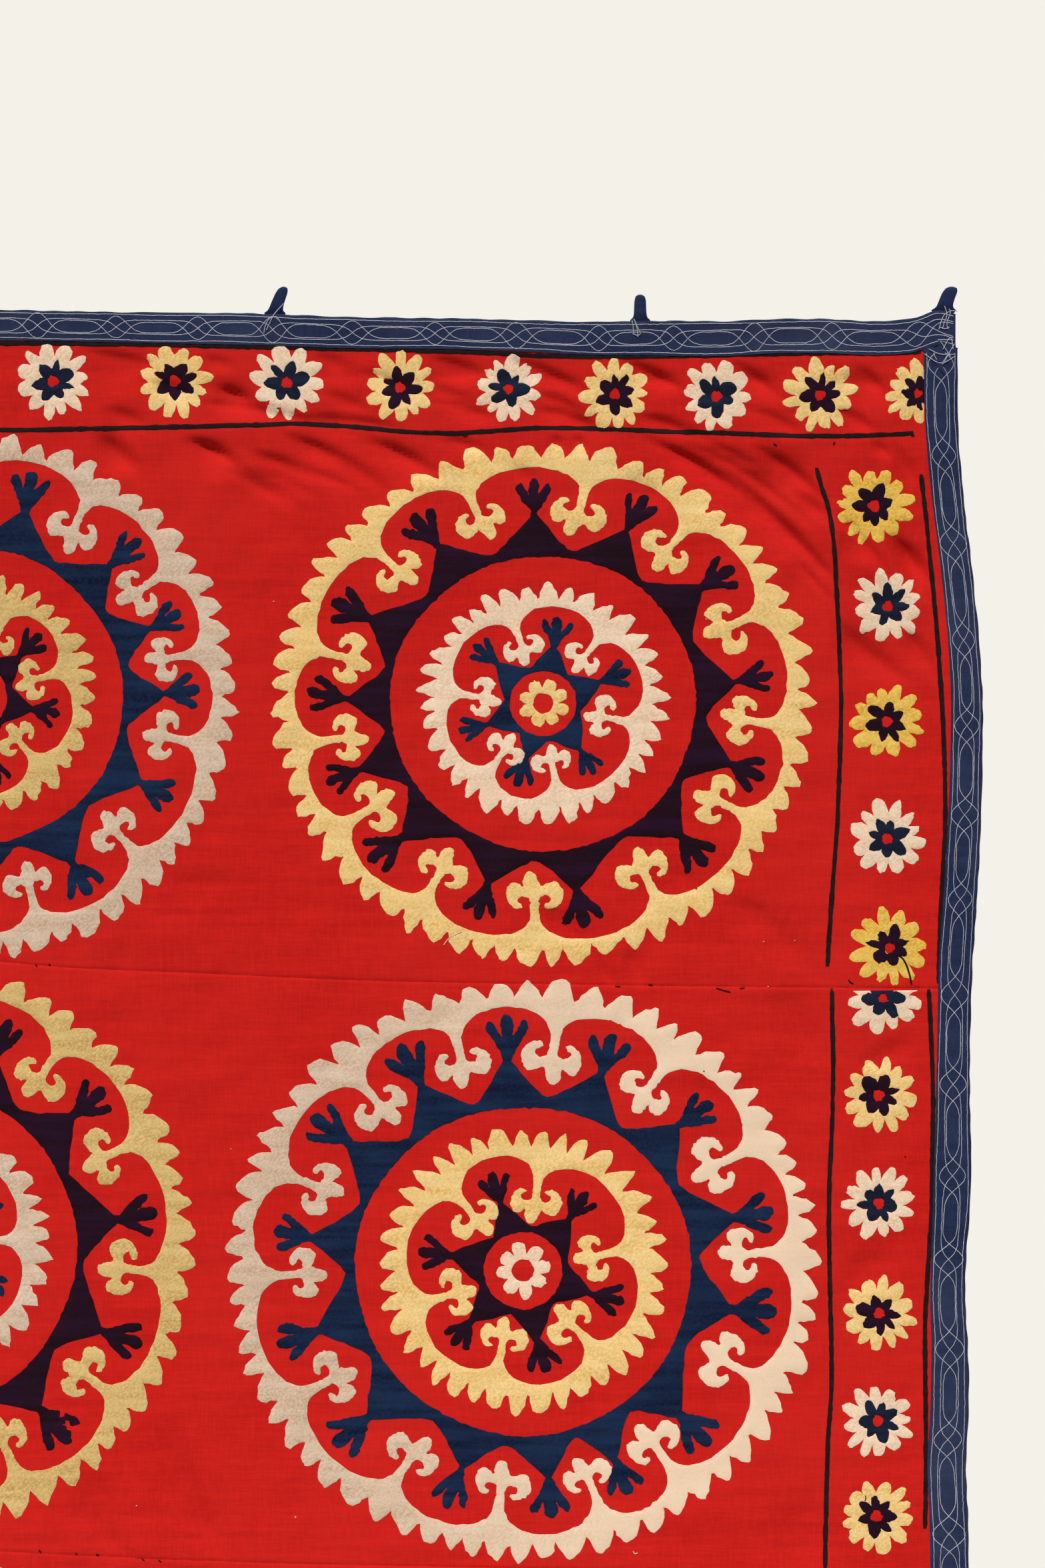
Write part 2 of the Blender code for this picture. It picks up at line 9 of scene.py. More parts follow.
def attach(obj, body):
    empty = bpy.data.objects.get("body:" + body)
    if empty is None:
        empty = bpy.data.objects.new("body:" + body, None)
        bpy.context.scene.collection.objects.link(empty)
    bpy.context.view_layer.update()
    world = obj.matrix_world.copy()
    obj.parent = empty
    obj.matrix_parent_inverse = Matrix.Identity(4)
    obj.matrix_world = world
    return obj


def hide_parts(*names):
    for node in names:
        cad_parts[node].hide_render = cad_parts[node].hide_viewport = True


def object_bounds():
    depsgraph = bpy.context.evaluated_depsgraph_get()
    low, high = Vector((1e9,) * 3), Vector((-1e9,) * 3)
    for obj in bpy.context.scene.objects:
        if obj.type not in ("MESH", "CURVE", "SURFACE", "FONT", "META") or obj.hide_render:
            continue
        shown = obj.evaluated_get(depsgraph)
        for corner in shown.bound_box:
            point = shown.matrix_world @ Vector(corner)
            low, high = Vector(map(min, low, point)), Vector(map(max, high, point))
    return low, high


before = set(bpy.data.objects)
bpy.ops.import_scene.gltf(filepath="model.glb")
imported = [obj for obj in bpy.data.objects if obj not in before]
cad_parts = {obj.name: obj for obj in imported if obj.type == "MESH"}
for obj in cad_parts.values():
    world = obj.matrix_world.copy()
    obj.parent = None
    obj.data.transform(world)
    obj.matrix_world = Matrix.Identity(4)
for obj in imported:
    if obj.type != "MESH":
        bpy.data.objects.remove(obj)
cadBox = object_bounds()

# A suzani wall hanging: three embroidered strips of red cotton, bound in blue and hung by
# five loops of tape. Metres, +Z up, the front faces -Y, the origin is the middle of the top edge.

# camera and light of the photograph
view = dict(
    place=(0.2891, -4.769, -0.5154), lens=100.0, sensor=36.0,
    backdrop=(244, 241, 233), fillColour=(1.0, 0.985, 0.96, 1.0), fillStrength=0.15,
    keyFrom=(-0.16, -0.60, 0.78), keyStrength=3.95, keySoftness=7.0,
    backFrom=(0.5, 0.75, 0.45), backStrength=1.3, backSoftness=25.0,
    floorDrop=0.30, floorSize=3.4, floorColour=(226, 223, 216), sunAway=4.0,
)


def inMetres(rows, perMetre=1000):  # the tables are written in millimetres
    return [tuple(value / perMetre for value in row) for row in rows]


def inTenths(rows):  # or in tenths of a millimetre
    return inMetres(rows, 10000)


# the outline and the seams: place along an edge and place across it
topEdge = inMetres([
    (-764, 0), (-743, 4), (-715, -3), (-660, -6), (-600, -5), (-520, -3), (-430, 1), (-360, 3),
    (-283, 4), (-174, 2), (-64, 1), (9, 0), (82, -3), (210, -5), (289, -7), (362, -9), (435, -8),
    (523, -8), (563, -6), (625, -6), (672, -8), (720, -4), (745, 4), (764, 0),
])
upperSeam = inMetres([
    (-790, -709), (-560, -705), (-420, -706), (-283, -710), (-212, -716), (-78, -722), (127, -731),
    (301, -734), (433, -736), (794, -740),
])
lowerSeam = inMetres([
    (-790, -1352), (-600, -1349), (-430, -1350), (-283, -1355), (-109, -1364), (25, -1369),
    (250, -1373), (500, -1377), (790, -1380),
])
bottomEdge = inMetres([
    (-770, -2072), (-600, -2079), (-420, -2075), (-200, -2083), (0, -2086), (210, -2082), (400, -2089),
    (590, -2086), (770, -2079),
])
rightEdge = inMetres([
    (-2090, 769), (-1950, 772), (-1800, 776), (-1650, 773), (-1500, 776), (-1400, 779), (-1313, 778),
    (-1258, 776), (-1203, 779), (-1130, 778), (-1079, 775), (-1039, 776), (-966, 781), (-825, 780),
    (-715, 783), (-624, 789), (-533, 793), (-478, 794), (-423, 794), (-369, 791), (-277, 782),
    (-201, 773), (-124, 767), (-37, 766), (5, 763),
])
leftEdge = inMetres([
    (-2090, -768), (-1900, -774), (-1700, -772), (-1500, -777), (-1300, -779), (-1100, -775),
    (-900, -780), (-720, -783), (-560, -790), (-420, -789), (-280, -780), (-120, -768), (5, -763),
])
topLeaf = inMetres([
    (-770, 36), (-450, 38), (-283, 34), (10, 35), (289, 35), (472, 39), (581, 38), (770, 38),
])
bottomLeaf = inMetres([
    (-770, 38), (-250, 36), (200, 40), (770, 37),
])
rightLeaf = inMetres([
    (-2090, 38), (-1700, 40), (-1345, 43), (-1200, 43), (-1050, 39), (-966, 42), (-825, 37),
    (-680, 38), (-477, 36), (-370, 35), (-168, 36), (5, 39),
])
leftLeaf = inMetres([
    (-2090, 37), (-1500, 41), (-1000, 38), (-500, 36), (5, 38),
])
mainFolds = inMetres([  # three points of the axis, reach, depth
    # stress folds that fall from the top edge towards the right edge
    (440, -138, 526, -187, 619, -276, 16, 8.5), (508, -143, 562, -178, 622, -217, 14, 6),
    (560, -140, 584, -165, 612, -190, 16, 5), (622, -216, 655, -250, 684, -284, 15, -5),
    (700, -240, 724, -276, 744, -316, 14, 6.5), (668, -240, 704, -282, 735, -330, 13, -4.5),
    (585, -276, 606, -298, 632, -320, 18, 4), (637, -336, 670, -365, 704, -391, 20, 4),
    # short dips along the flower border at the top
    (-194, -40, -158, -50, -120, -60, 14, 4), (-165, -100, -142, -109, -120, -120, 14, 3),
    (-50, -71, -22, -86, 4, -100, 14, 6), (60, -40, 90, -53, 118, -67, 14, 4),
    (45, -112, 86, -124, 126, -136, 14, 4), (178, -41, 210, -51, 244, -63, 14, 6),
    (280, -47, 315, -59, 352, -75, 14, 5), (300, -96, 345, -112, 390, -128, 14, 4),
    (406, -51, 436, -64, 466, -78, 14, 6), (430, -112, 460, -123, 490, -132, 13, 4),
    (525, -50, 551, -68, 578, -88, 15, 5), (634, -48, 664, -68, 696, -89, 16, 5),
    # slanting folds in the field just below the border
    (-170, -130, -151, -148, -132, -167, 15, 4), (-70, -136, -47, -149, -22, -165, 14, 6),
    (-23, -172, 2, -196, 28, -226, 17, 3), (38, -132, 67, -149, 96, -167, 14, 6),
    (67, -168, 106, -182, 147, -195, 16, 3), (122, -132, 159, -150, 196, -170, 14, 5),
    (400, -174, 426, -188, 452, -202, 15, 4),
    # the left end of the hanging, pulled towards the left edge
    (-440, -140, -520, -190, -612, -270, 17, 7), (-505, -150, -562, -184, -618, -222, 15, 5),
    (-636, -228, -664, -260, -690, -292, 16, -4.5), (-706, -255, -727, -286, -744, -320, 15, 6),
    (-300, -50, -328, -63, -356, -78, 14, 5), (-415, -54, -440, -67, -466, -81, 14, 5),
    (-532, -52, -556, -68, -581, -88, 15, 4.5), (-640, -50, -666, -66, -692, -85, 15, 5),
    # creases at the first seam and in the middle strip
    (500, -628, 560, -672, 622, -722, 14, 3), (580, -740, 600, -776, 622, -818, 15, 3),
    (640, -1066, 664, -1046, 692, -1022, 22, 4), (582, -1362, 594, -1328, 614, -1290, 22, 4.5),
    (-192, -1258, -170, -1312, -142, -1372, 18, 4.5), (-106, -1216, -72, -1290, -34, -1368, 19, 6),
    (-240, -1144, -222, -1172, -204, -1204, 20, 4),
    # long soft drapes that the weight of the lower half makes
    (-560, -800, -545, -1050, -575, -1320, 32, 5), (180, -860, 195, -1080, 176, -1300, 34, 3),
    (-430, -1480, -405, -1680, -385, -1900, 30, 6), (50, -1470, 80, -1640, 95, -1820, 32, 5),
    (490, -1500, 465, -1700, 455, -1920, 30, 6), (-140, -1780, -125, -1880, -130, -1990, 28, -4.5),
    (650, -1620, 662, -1800, 655, -1980, 28, 4.5),
])
slowBows = [(0.840, 0.12, 0.0020, 0.0090), (1.330, 0.61, 0.0014, 0.0065)]  # wave, start, top, bottom

# thin creases that a fold leaves in the cotton
fineCreases = inMetres([
    (-188, -37, -152, -47, -115, -52, 6, 2.4), (-59, -45, -42, -50, -23, -60, 6, 1.6),
    (-40, -79, -27, -85, -4, -93, 6, 3), (-52, -96, 2, -101, 60, -115, 5, 2.3),
    (60, -110, 103, -113, 155, -123, 5, 2.3), (77, -85, 97, -92, 120, -103, 6, 2.1),
    (66, -42, 83, -48, 101, -58, 6, 2.1), (188, -45, 216, -52, 250, -64, 7, 3.2),
    (199, -95, 230, -102, 261, -113, 6, 2.1), (-162, -103, -145, -107, -126, -118, 6, 1.6),
    (-173, -133, -155, -146, -130, -162, 8, 1.6), (-74, -136, -47, -143, -23, -161, 6, 3.2),
    (36, -132, 92, -150, 143, -190, 6, 3), (131, -139, 162, -151, 193, -171, 6, 3),
    (207, -136, 227, -139, 250, -147, 5, 2.4), (62, -168, 90, -180, 120, -197, 3, 1.4),
    (-2, -154, 22, -160, 47, -172, 7, 2.1), (9, -172, 33, -181, 60, -196, 7, 2.1),
    (-35, -168, -2, -181, 39, -212, 3, 1.4), (279, -48, 316, -59, 356, -81, 6, 2.9),
    (310, -86, 331, -92, 353, -104, 6, 3), (310, -104, 339, -108, 368, -121, 6, 2.5),
    (404, -52, 432, -60, 460, -77, 6, 3.2), (419, -111, 443, -114, 476, -128, 6, 2.1),
    (522, -52, 544, -65, 568, -86, 6, 2.5), (534, -101, 566, -109, 600, -131, 6, 1.8),
    (658, -56, 674, -68, 685, -85, 6, 2.4), (636, -105, 655, -110, 676, -125, 6, 2.4),
    (324, -132, 331, -138, 337, -147, 4, 2.1), (347, -132, 354, -138, 363, -147, 4, 2.1),
    (434, -139, 480, -154, 527, -192, 6, 3.7), (518, -176, 560, -210, 622, -277, 7, 4.5),
    (473, -142, 535, -165, 600, -223, 6, 3), (498, -142, 518, -149, 542, -162, 5, 1.6),
    (550, -147, 578, -161, 615, -196, 7, 3.9), (591, -194, 606, -203, 626, -223, 6, 1.8),
    (579, -250, 598, -279, 631, -311, 3, 1.8), (638, -219, 652, -235, 692, -280, 6, 3.2),
    (638, -241, 656, -256, 673, -274, 8, 2.4), (699, -142, 711, -164, 723, -185, 6, 2.4),
    (699, -245, 721, -265, 739, -293, 7, 3.2), (641, -342, 661, -369, 711, -397, 9, 2.9),
    (711, -347, 727, -365, 744, -394, 7, 2.9), (675, -138, 685, -145, 696, -157, 5, 1.8),
    (504, -631, 549, -650, 622, -717, 4, 1.4), (515, -629, 560, -648, 619, -698, 3, 0.9),
    (578, -740, 586, -779, 621, -815, 4, 1.4), (408, -694, 413, -708, 421, -734, 6, 2),
    (369, -701, 380, -716, 396, -734, 5, 1.2), (301, -644, 325, -658, 364, -685, 6, 1.8),
    (447, -606, 466, -615, 485, -629, 5, 1.4), (658, -818, 689, -812, 714, -793, 9, 2.6),
    (473, -831, 493, -850, 531, -886, 5, 1.4), (393, -765, 396, -772, 398, -787, 4, 1),
    (-197, -1279, -178, -1314, -156, -1364, 4, 1.7), (-190, -1267, -172, -1282, -147, -1308, 3, 1),
    (-163, -1329, -150, -1348, -127, -1365, 3, 1.1), (-103, -1219, -77, -1272, -34, -1371, 4, 1.5),
    (-70, -1308, -55, -1326, -42, -1355, 5, 1), (-227, -1172, -212, -1199, -195, -1242, 3, 1.3),
    (-32, -1327, -24, -1341, -19, -1364, 4, 1), (-254, -752, -247, -788, -251, -854, 9, 1.4),
    (155, -766, 180, -774, 220, -769, 8, 0.8), (-101, -618, -72, -621, -12, -622, 7, 0.9),
    (-145, -658, -135, -673, -146, -711, 8, 1.3), (-455, -150, -530, -204, -600, -268, 7, 3.3),
    (-640, -205, -668, -238, -700, -280, 7, 2.7), (-610, -1420, -560, -1500, -540, -1590, 8, 1.4),
    (610, -1960, 640, -1900, 690, -1860, 8, 1.4), (-300, -1430, -262, -1500, -236, -1600, 6, 1.3),
    (420, -1400, 446, -1442, 458, -1500, 6, 1.2), (-10, -1905, 30, -1930, 85, -1950, 7, 1.5),
    (-26, -161, 18, -190, 53, -212, 5, 1.8), (-172, -131, -148, -155, -123, -180, 7, 1.6),
    (-11, -146, 38, -162, 87, -183, 6, 1.7), (193, -78, 215, -86, 237, -95, 6, 2.3),
    (270, -160, 292, -171, 311, -185, 7, 1.6), (-120, -72, -92, -78, -64, -90, 6, 1.8),
    (118, -60, 140, -68, 160, -79, 6, 1.8),
])

cloth = dict(
    thickness=0.0012, edgeInset=0.0022, seamGap=0.00012, seamDip=0.0008, seamReach=0.0017,
    seamPucker=0.35, seamWaves=(410.0, 173.0), seamRows=(0.0, 0.0011, 0.0023, 0.0038, 0.0058),
    flatMargin=0.048, foldFade=0.022, creaseMargin=0.034, creaseFade=0.016, rumple=0.00022,
    narrow=0.85, shallow=0.92, creaseWide=1.05, creaseDeep=2.0, upperSide=0.85, lowerSide=1.9,
    endFade=0.46, tipWidth=0.35, runOut=0.22, axisPoints=19, nearReach=3,
    foldShift=(0.0030, 0.0040), creaseShift=(0.0018, 0.0024),
)
rumples = (  # direction, wave length, start
    (0.4, 0.061, 1.1), (1.5, 0.083, 0.3), (2.3, 0.047, 2.2),
    (2.9, 0.118, 4.0), (0.9, 0.101, 5.1), (1.9, 0.056, 3.3),
)
tiny = 1e-6  # keeps a division away from nothing


def curveValue(points, place):
    table = np.array(points)
    along, across = table[:, 0], table[:, 1]
    slopes = np.gradient(across, along)
    place = np.clip(place, along[0], along[-1])
    index = np.clip(np.searchsorted(along, place) - 1, 0, len(along) - 2)
    span = along[index + 1] - along[index]
    t = (place - along[index]) / span
    start = (1 + 2 * t) * (1 - t) ** 2 * across[index]
    end = t ** 2 * (3 - 2 * t) * across[index + 1]
    leave = t * (1 - t) ** 2 * span * slopes[index]
    arrive = t ** 2 * (t - 1) * span * slopes[index + 1]
    return start + end + leave + arrive


def smoothStep(value):
    value = np.clip(value, 0.0, 1.0)
    return value * value * (3 - 2 * value)


def marginInside(x, z):
    sides = np.minimum(x - curveValue(leftEdge, z), curveValue(rightEdge, z) - x)
    ends = np.minimum(curveValue(topEdge, x) - z, z - curveValue(bottomEdge, x))
    return np.minimum(sides, ends)


def foldDepth(fold, x, z):  # steeper on its upper side, as cloth that hangs over itself
    x0, z0, xm, zm, x1, z1, reach, depth = fold
    t = np.linspace(-cloth["runOut"], 1.0 + cloth["runOut"], cloth["axisPoints"])
    axisX = (1 - t) ** 2 * x0 + 2 * t * (1 - t) * xm + t ** 2 * x1
    axisZ = (1 - t) ** 2 * z0 + 2 * t * (1 - t) * zm + t ** 2 * z1
    room = cloth["nearReach"] * reach * cloth["lowerSide"]
    near = np.flatnonzero(
        (x > axisX.min() - room) & (x < axisX.max() + room)
        & (z > axisZ.min() - room) & (z < axisZ.max() + room)
    )
    out = np.zeros(len(x))
    if len(near) == 0:
        return out
    stepX, stepZ = np.diff(axisX), np.diff(axisZ)
    fromX, fromZ = x[near, None] - axisX[None, :-1], z[near, None] - axisZ[None, :-1]
    along = np.clip((fromX * stepX + fromZ * stepZ) / (stepX ** 2 + stepZ ** 2), 0.0, 1.0)
    offX, offZ = fromX - along * stepX, fromZ - along * stepZ
    distance = np.hypot(offX, offZ)
    closest = np.argmin(distance, axis=1)
    row = np.arange(len(near))
    distance = distance[row, closest]
    upward = offZ[row, closest] / np.maximum(distance, tiny)
    share = (closest + along[row, closest]) / len(stepX)
    fade = smoothStep(np.minimum(share, 1 - share) / cloth["endFade"])
    width = reach * (cloth["lowerSide"] + (cloth["upperSide"] - cloth["lowerSide"]) * (1 + upward) / 2)
    width *= cloth["tipWidth"] + (1 - cloth["tipWidth"]) * fade
    out[near] = depth * fade * np.exp(-(distance / width) ** 2)
    return out


def rumple(x, z):
    height = np.zeros(len(x))
    for turn, wave, start in rumples:
        height += np.sin(2 * math.pi * (x * math.cos(turn) + z * math.sin(turn)) / wave + start)
    return height * cloth["rumple"]


def hangDepth(x, z):  # y of the middle of the cotton
    x = np.atleast_1d(np.asarray(x, dtype=float))
    z = np.atleast_1d(np.asarray(z, dtype=float))
    height = curveValue(topEdge, x) - curveValue(bottomEdge, x)
    down = np.clip((curveValue(topEdge, x) - z) / height, 0.0, 1.0)
    depth = np.zeros(len(x))
    for wave, start, top, bottom in slowBows:
        depth += np.sin(2 * math.pi * (x / wave + start)) * (top + (bottom - top) * down)
    margin = marginInside(x, z)
    folds, creases = rumple(x, z), np.zeros(len(x))
    for total, rows, shift, wide, tall in (
        (folds, mainFolds, cloth["foldShift"], cloth["narrow"], cloth["shallow"]),
        (creases, fineCreases, cloth["creaseShift"], cloth["creaseWide"], cloth["creaseDeep"]),
    ):
        for *axis, reach, deep in rows:
            total += foldDepth((*axis, reach * wide, deep * tall), x + shift[0], z + shift[1])
    depth += folds * smoothStep((margin - cloth["flatMargin"]) / cloth["foldFade"])
    return depth + creases * smoothStep((margin - cloth["creaseMargin"]) / cloth["creaseFade"])


def seamDip(x, z):  # the cotton turns back where two strips are sewn together
    dip = np.zeros(len(x))
    quick, slow = cloth["seamWaves"]
    for seam in (upperSeam, lowerSeam):
        away = np.abs(z - curveValue(seam, x))
        pucker = 1.0 + cloth["seamPucker"] * np.sin(x * quick) * np.sin(x * slow + 1.0)
        dip += cloth["seamDip"] * pucker * np.exp(-(away / cloth["seamReach"]) ** 2)
    return dip


def onCloth(x, z, lift):  # y of a point that stands lift in front of the cotton's middle
    step = 0.0008
    slopeX = (hangDepth(x + step, z) - hangDepth(x - step, z)) / (2 * step)
    slopeZ = (hangDepth(x, z + step) - hangDepth(x, z - step)) / (2 * step)
    return hangDepth(x, z) + seamDip(x, z) - lift * np.sqrt(1 + slopeX ** 2 + slopeZ ** 2)


# shared steps

def onlyThis(piece):
    for other in bpy.context.selected_objects:
        other.select_set(False)
    piece.select_set(True)
    bpy.context.view_layer.objects.active = piece


def smoothFaces(piece, degrees):
    onlyThis(piece)
    bpy.ops.object.shade_smooth_by_angle(angle=math.radians(degrees))


def applyAll(piece):
    onlyThis(piece)
    for modifier in list(piece.modifiers):
        bpy.ops.object.modifier_apply(modifier=modifier.name)
    smoothFaces(piece, 50.0)


def newGrid(name, columns, rows):
    bpy.ops.object.select_all(action="DESELECT")
    bpy.ops.mesh.primitive_grid_add(x_subdivisions=columns, y_subdivisions=rows, size=1.0)
    grid = bpy.context.object
    grid.name = name
    grid.data.name = name
    return grid


def moveGrid(grid, columns, rows, place):  # place(column, row) gives x, y, z; row 0 is the top
    count = len(grid.data.vertices)
    flat = np.empty(count * 3)
    grid.data.vertices.foreach_get("co", flat)
    flat = flat.reshape(count, 3)
    column = np.rint((flat[:, 0] + 0.5) * columns).astype(int)
    row = np.rint((0.5 - flat[:, 1]) * rows).astype(int)
    flat[:, 0], flat[:, 1], flat[:, 2] = place(column, row)
    grid.data.vertices.foreach_set("co", flat.ravel())
    grid.data.update()


def thicken(piece, thickness):
    wall = piece.modifiers.new("thickness", "SOLIDIFY")
    wall.thickness = thickness
    wall.offset = 0.0
    wall.use_even_offset = True


def tint(red, green, blue):  # a colour as it was read off, made linear
    def linear(value):
        value = value / 255.0
        return value / 12.92 if value <= 0.04045 else ((value + 0.055) / 1.055) ** 2.4
    return (linear(red), linear(green), linear(blue), 1.0)


# materials: shared effects are groups, each placed with its own values

def newGroup(name, inputs, outputs):  # a group of plain numbers, and the place that it shades
    group = bpy.data.node_groups.new(name, "ShaderNodeTree")
    for label, value in inputs.items():
        socket = group.interface.new_socket(label, in_out="INPUT", socket_type="NodeSocketFloat")
        socket.default_value = value
    for label in outputs:
        group.interface.new_socket(label, in_out="OUTPUT", socket_type="NodeSocketFloat")
    into, out = group.nodes.new("NodeGroupInput"), group.nodes.new("NodeGroupOutput")
    return group, into.outputs, out.inputs, addNode(group, "ShaderNodeTexCoord").outputs["Object"]


def addNode(tree, kind, **settings):
    node = tree.nodes.new(kind)
    for key, value in settings.items():
        setattr(node, key, value)
    return node


def feed(tree, socket, value):  # a socket takes another node's output or a plain value
    if isinstance(value, bpy.types.NodeSocket):
        tree.links.new(value, socket)
    else:
        socket.default_value = value


def mathNode(tree, operation, first, second, clamp=False):
    node = addNode(tree, "ShaderNodeMath", operation=operation, use_clamp=clamp)
    feed(tree, node.inputs[0], first)
    feed(tree, node.inputs[1], second)
    return node.outputs[0]


def noiseNode(tree, place, scale, stretch=(1, 1, 1), detail=2.0, roughness=0.5):
    mapping = addNode(tree, "ShaderNodeMapping")
    mapping.inputs["Scale"].default_value = stretch
    tree.links.new(place, mapping.inputs["Vector"])
    noise = addNode(tree, "ShaderNodeTexNoise")
    noise.inputs["Detail"].default_value = detail
    noise.inputs["Roughness"].default_value = roughness
    tree.links.new(mapping.outputs["Vector"], noise.inputs["Vector"])
    feed(tree, noise.inputs["Scale"], scale)
    return noise.outputs["Fac"]


def spread(tree, value, low, high):  # stretch a narrow noise to 0..1
    node = addNode(tree, "ShaderNodeMapRange")
    node.inputs["From Min"].default_value = low
    node.inputs["From Max"].default_value = high
    tree.links.new(value, node.inputs["Value"])
    return node.outputs["Result"]


def makeCottonWeave():  # slubby threads both ways, and slow uneven dyeing
    group, into, out, place = newGroup(
        "cottonWeave", {"Thread Scale": 420.0, "Slub": 0.5}, ("Height", "Shade", "Fade"),
    )
    weft = noiseNode(group, place, into["Thread Scale"], (0.10, 1.0, 1.0), detail=1.0)
    warp = noiseNode(group, place, into["Thread Scale"], (1.0, 1.0, 0.10), detail=1.0)
    threads = mathNode(group, "ADD", weft, warp)
    slub = spread(group, noiseNode(group, place, 60.0, (0.08, 1.0, 1.6), detail=3.0), 0.35, 0.65)
    speck = mathNode(group, "MULTIPLY", spread(group, threads, 0.8, 1.2), 0.5)
    shade = mathNode(group, "ADD", speck, mathNode(group, "MULTIPLY", slub, into["Slub"]))
    fade = spread(group, noiseNode(group, place, 5.5, (1.0, 1.0, 0.7), detail=4.0), 0.33, 0.67)
    group.links.new(mathNode(group, "MULTIPLY", threads, 0.5), out["Height"])
    group.links.new(shade, out["Shade"])
    group.links.new(fade, out["Fade"])
    return group


def makeStitchRows():  # laid threads tied down in short stitches
    group, into, out, place = newGroup(
        "stitchRows", {"Stitch Scale": 300.0, "Streak Scale": 90.0},
        ("Height", "Speck", "Streak", "Blotch"),
    )
    turned = addNode(group, "ShaderNodeMapping")
    turned.inputs["Rotation"].default_value = (0.0, math.radians(32.0), 0.0)
    group.links.new(place, turned.inputs["Vector"])
    slanted = turned.outputs["Vector"]
    stitch = noiseNode(group, slanted, into["Stitch Scale"], (0.55, 1.0, 1.0), detail=1.5)
    streak = noiseNode(group, place, into["Streak Scale"], (0.09, 1.0, 1.0), detail=3.0)
    blotch = noiseNode(group, place, 26.0, detail=3.0)
    group.links.new(stitch, out["Height"])
    group.links.new(spread(group, stitch, 0.36, 0.64), out["Speck"])
    group.links.new(spread(group, streak, 0.36, 0.66), out["Streak"])
    group.links.new(spread(group, blotch, 0.34, 0.66), out["Blotch"])
    return group


def makeWear():  # rubbed patches and patches of grime, spread by noise
    group, into, out, place = newGroup("wear", {"Amount": 0.5}, ("Rubbed", "Grime"))
    for label, noise, low, high in (
        ("Rubbed", noiseNode(group, place, 9.0, detail=5.0, roughness=0.6), 0.52, 0.72),
        ("Grime", noiseNode(group, place, 34.0, detail=4.0), 0.58, 0.78),
    ):
        patches = spread(group, noise, low, high)
        group.links.new(mathNode(group, "MULTIPLY", patches, into["Amount"], clamp=True), out[label])
    return group


cottonWeave = makeCottonWeave()
stitchRows = makeStitchRows()
wear = makeWear()


def placeGroup(tree, group, **values):
    node = addNode(tree, "ShaderNodeGroup", node_tree=group)
    for key, value in values.items():
        node.inputs[key.replace("_", " ")].default_value = value
    return node


def mixColours(tree, factor, first, second, amount=1.0):
    node = addNode(tree, "ShaderNodeMix", data_type="RGBA")
    weight = mathNode(tree, "MULTIPLY", factor, amount, clamp=True)
    tree.links.new(weight, node.inputs["Factor"])
    feed(tree, node.inputs["A"], first)
    feed(tree, node.inputs["B"], second)
    return node.outputs["Result"]


def newMaterial(name, roughness, specular=0.2):
    material = bpy.data.materials.new(name)
    material.use_nodes = True
    shader = material.node_tree.nodes["Principled BSDF"]
    shader.inputs["Roughness"].default_value = roughness
    shader.inputs["Specular IOR Level"].default_value = specular
    return material, material.node_tree, shader


def addBump(tree, shader, height, strength, distance):
    bump = addNode(tree, "ShaderNodeBump")
    bump.inputs["Strength"].default_value = strength
    bump.inputs["Distance"].default_value = distance
    tree.links.new(height, bump.inputs["Height"])
    tree.links.new(bump.outputs["Normal"], shader.inputs["Normal"])


# each cloth: colours, weave, and where wear turns it to one of its colours
redCotton = dict(
    base=tint(204, 30, 24), deep=tint(180, 20, 16), faded=tint(210, 42, 34), threads=520.0,
    roughness=0.86, roughSpan=(0.76, 0.94), bump=0.25, fade=0.28, wear=0.5,
    worn=("Grime", "deep", 0.35),
)
blueBinding = dict(
    base=tint(36, 46, 78), deep=tint(26, 34, 60), faded=tint(62, 70, 96), threads=620.0,
    roughness=0.82, roughSpan=None, bump=0.22, fade=0.25, wear=0.8, worn=("Rubbed", "faded", 0.5),
)
blueTape = dict(blueBinding, base=tint(30, 44, 82), threads=800.0, fade=0.15)
clothShine, bumpDepth = 0.08, 0.0004


def makeCloth(name, look):
    material, tree, shader = newMaterial(name, look["roughness"], clothShine)
    weave = placeGroup(tree, cottonWeave, Thread_Scale=look["threads"], Slub=0.5)
    age = placeGroup(tree, wear, Amount=look["wear"])
    effect, shade, amount = look["worn"]
    colour = mixColours(tree, weave.outputs["Shade"], look["deep"], look["base"])
    colour = mixColours(tree, weave.outputs["Fade"], colour, look["faded"], look["fade"])
    colour = mixColours(tree, age.outputs[effect], colour, look[shade], amount)
    tree.links.new(colour, shader.inputs["Base Color"])
    if look["roughSpan"]:
        rough = addNode(tree, "ShaderNodeMapRange")
        rough.inputs["To Min"].default_value, rough.inputs["To Max"].default_value = look["roughSpan"]
        tree.links.new(weave.outputs["Shade"], rough.inputs["Value"])
        tree.links.new(rough.outputs["Result"], shader.inputs["Roughness"])
    addBump(tree, shader, weave.outputs["Height"], look["bump"], bumpDepth)
    return material


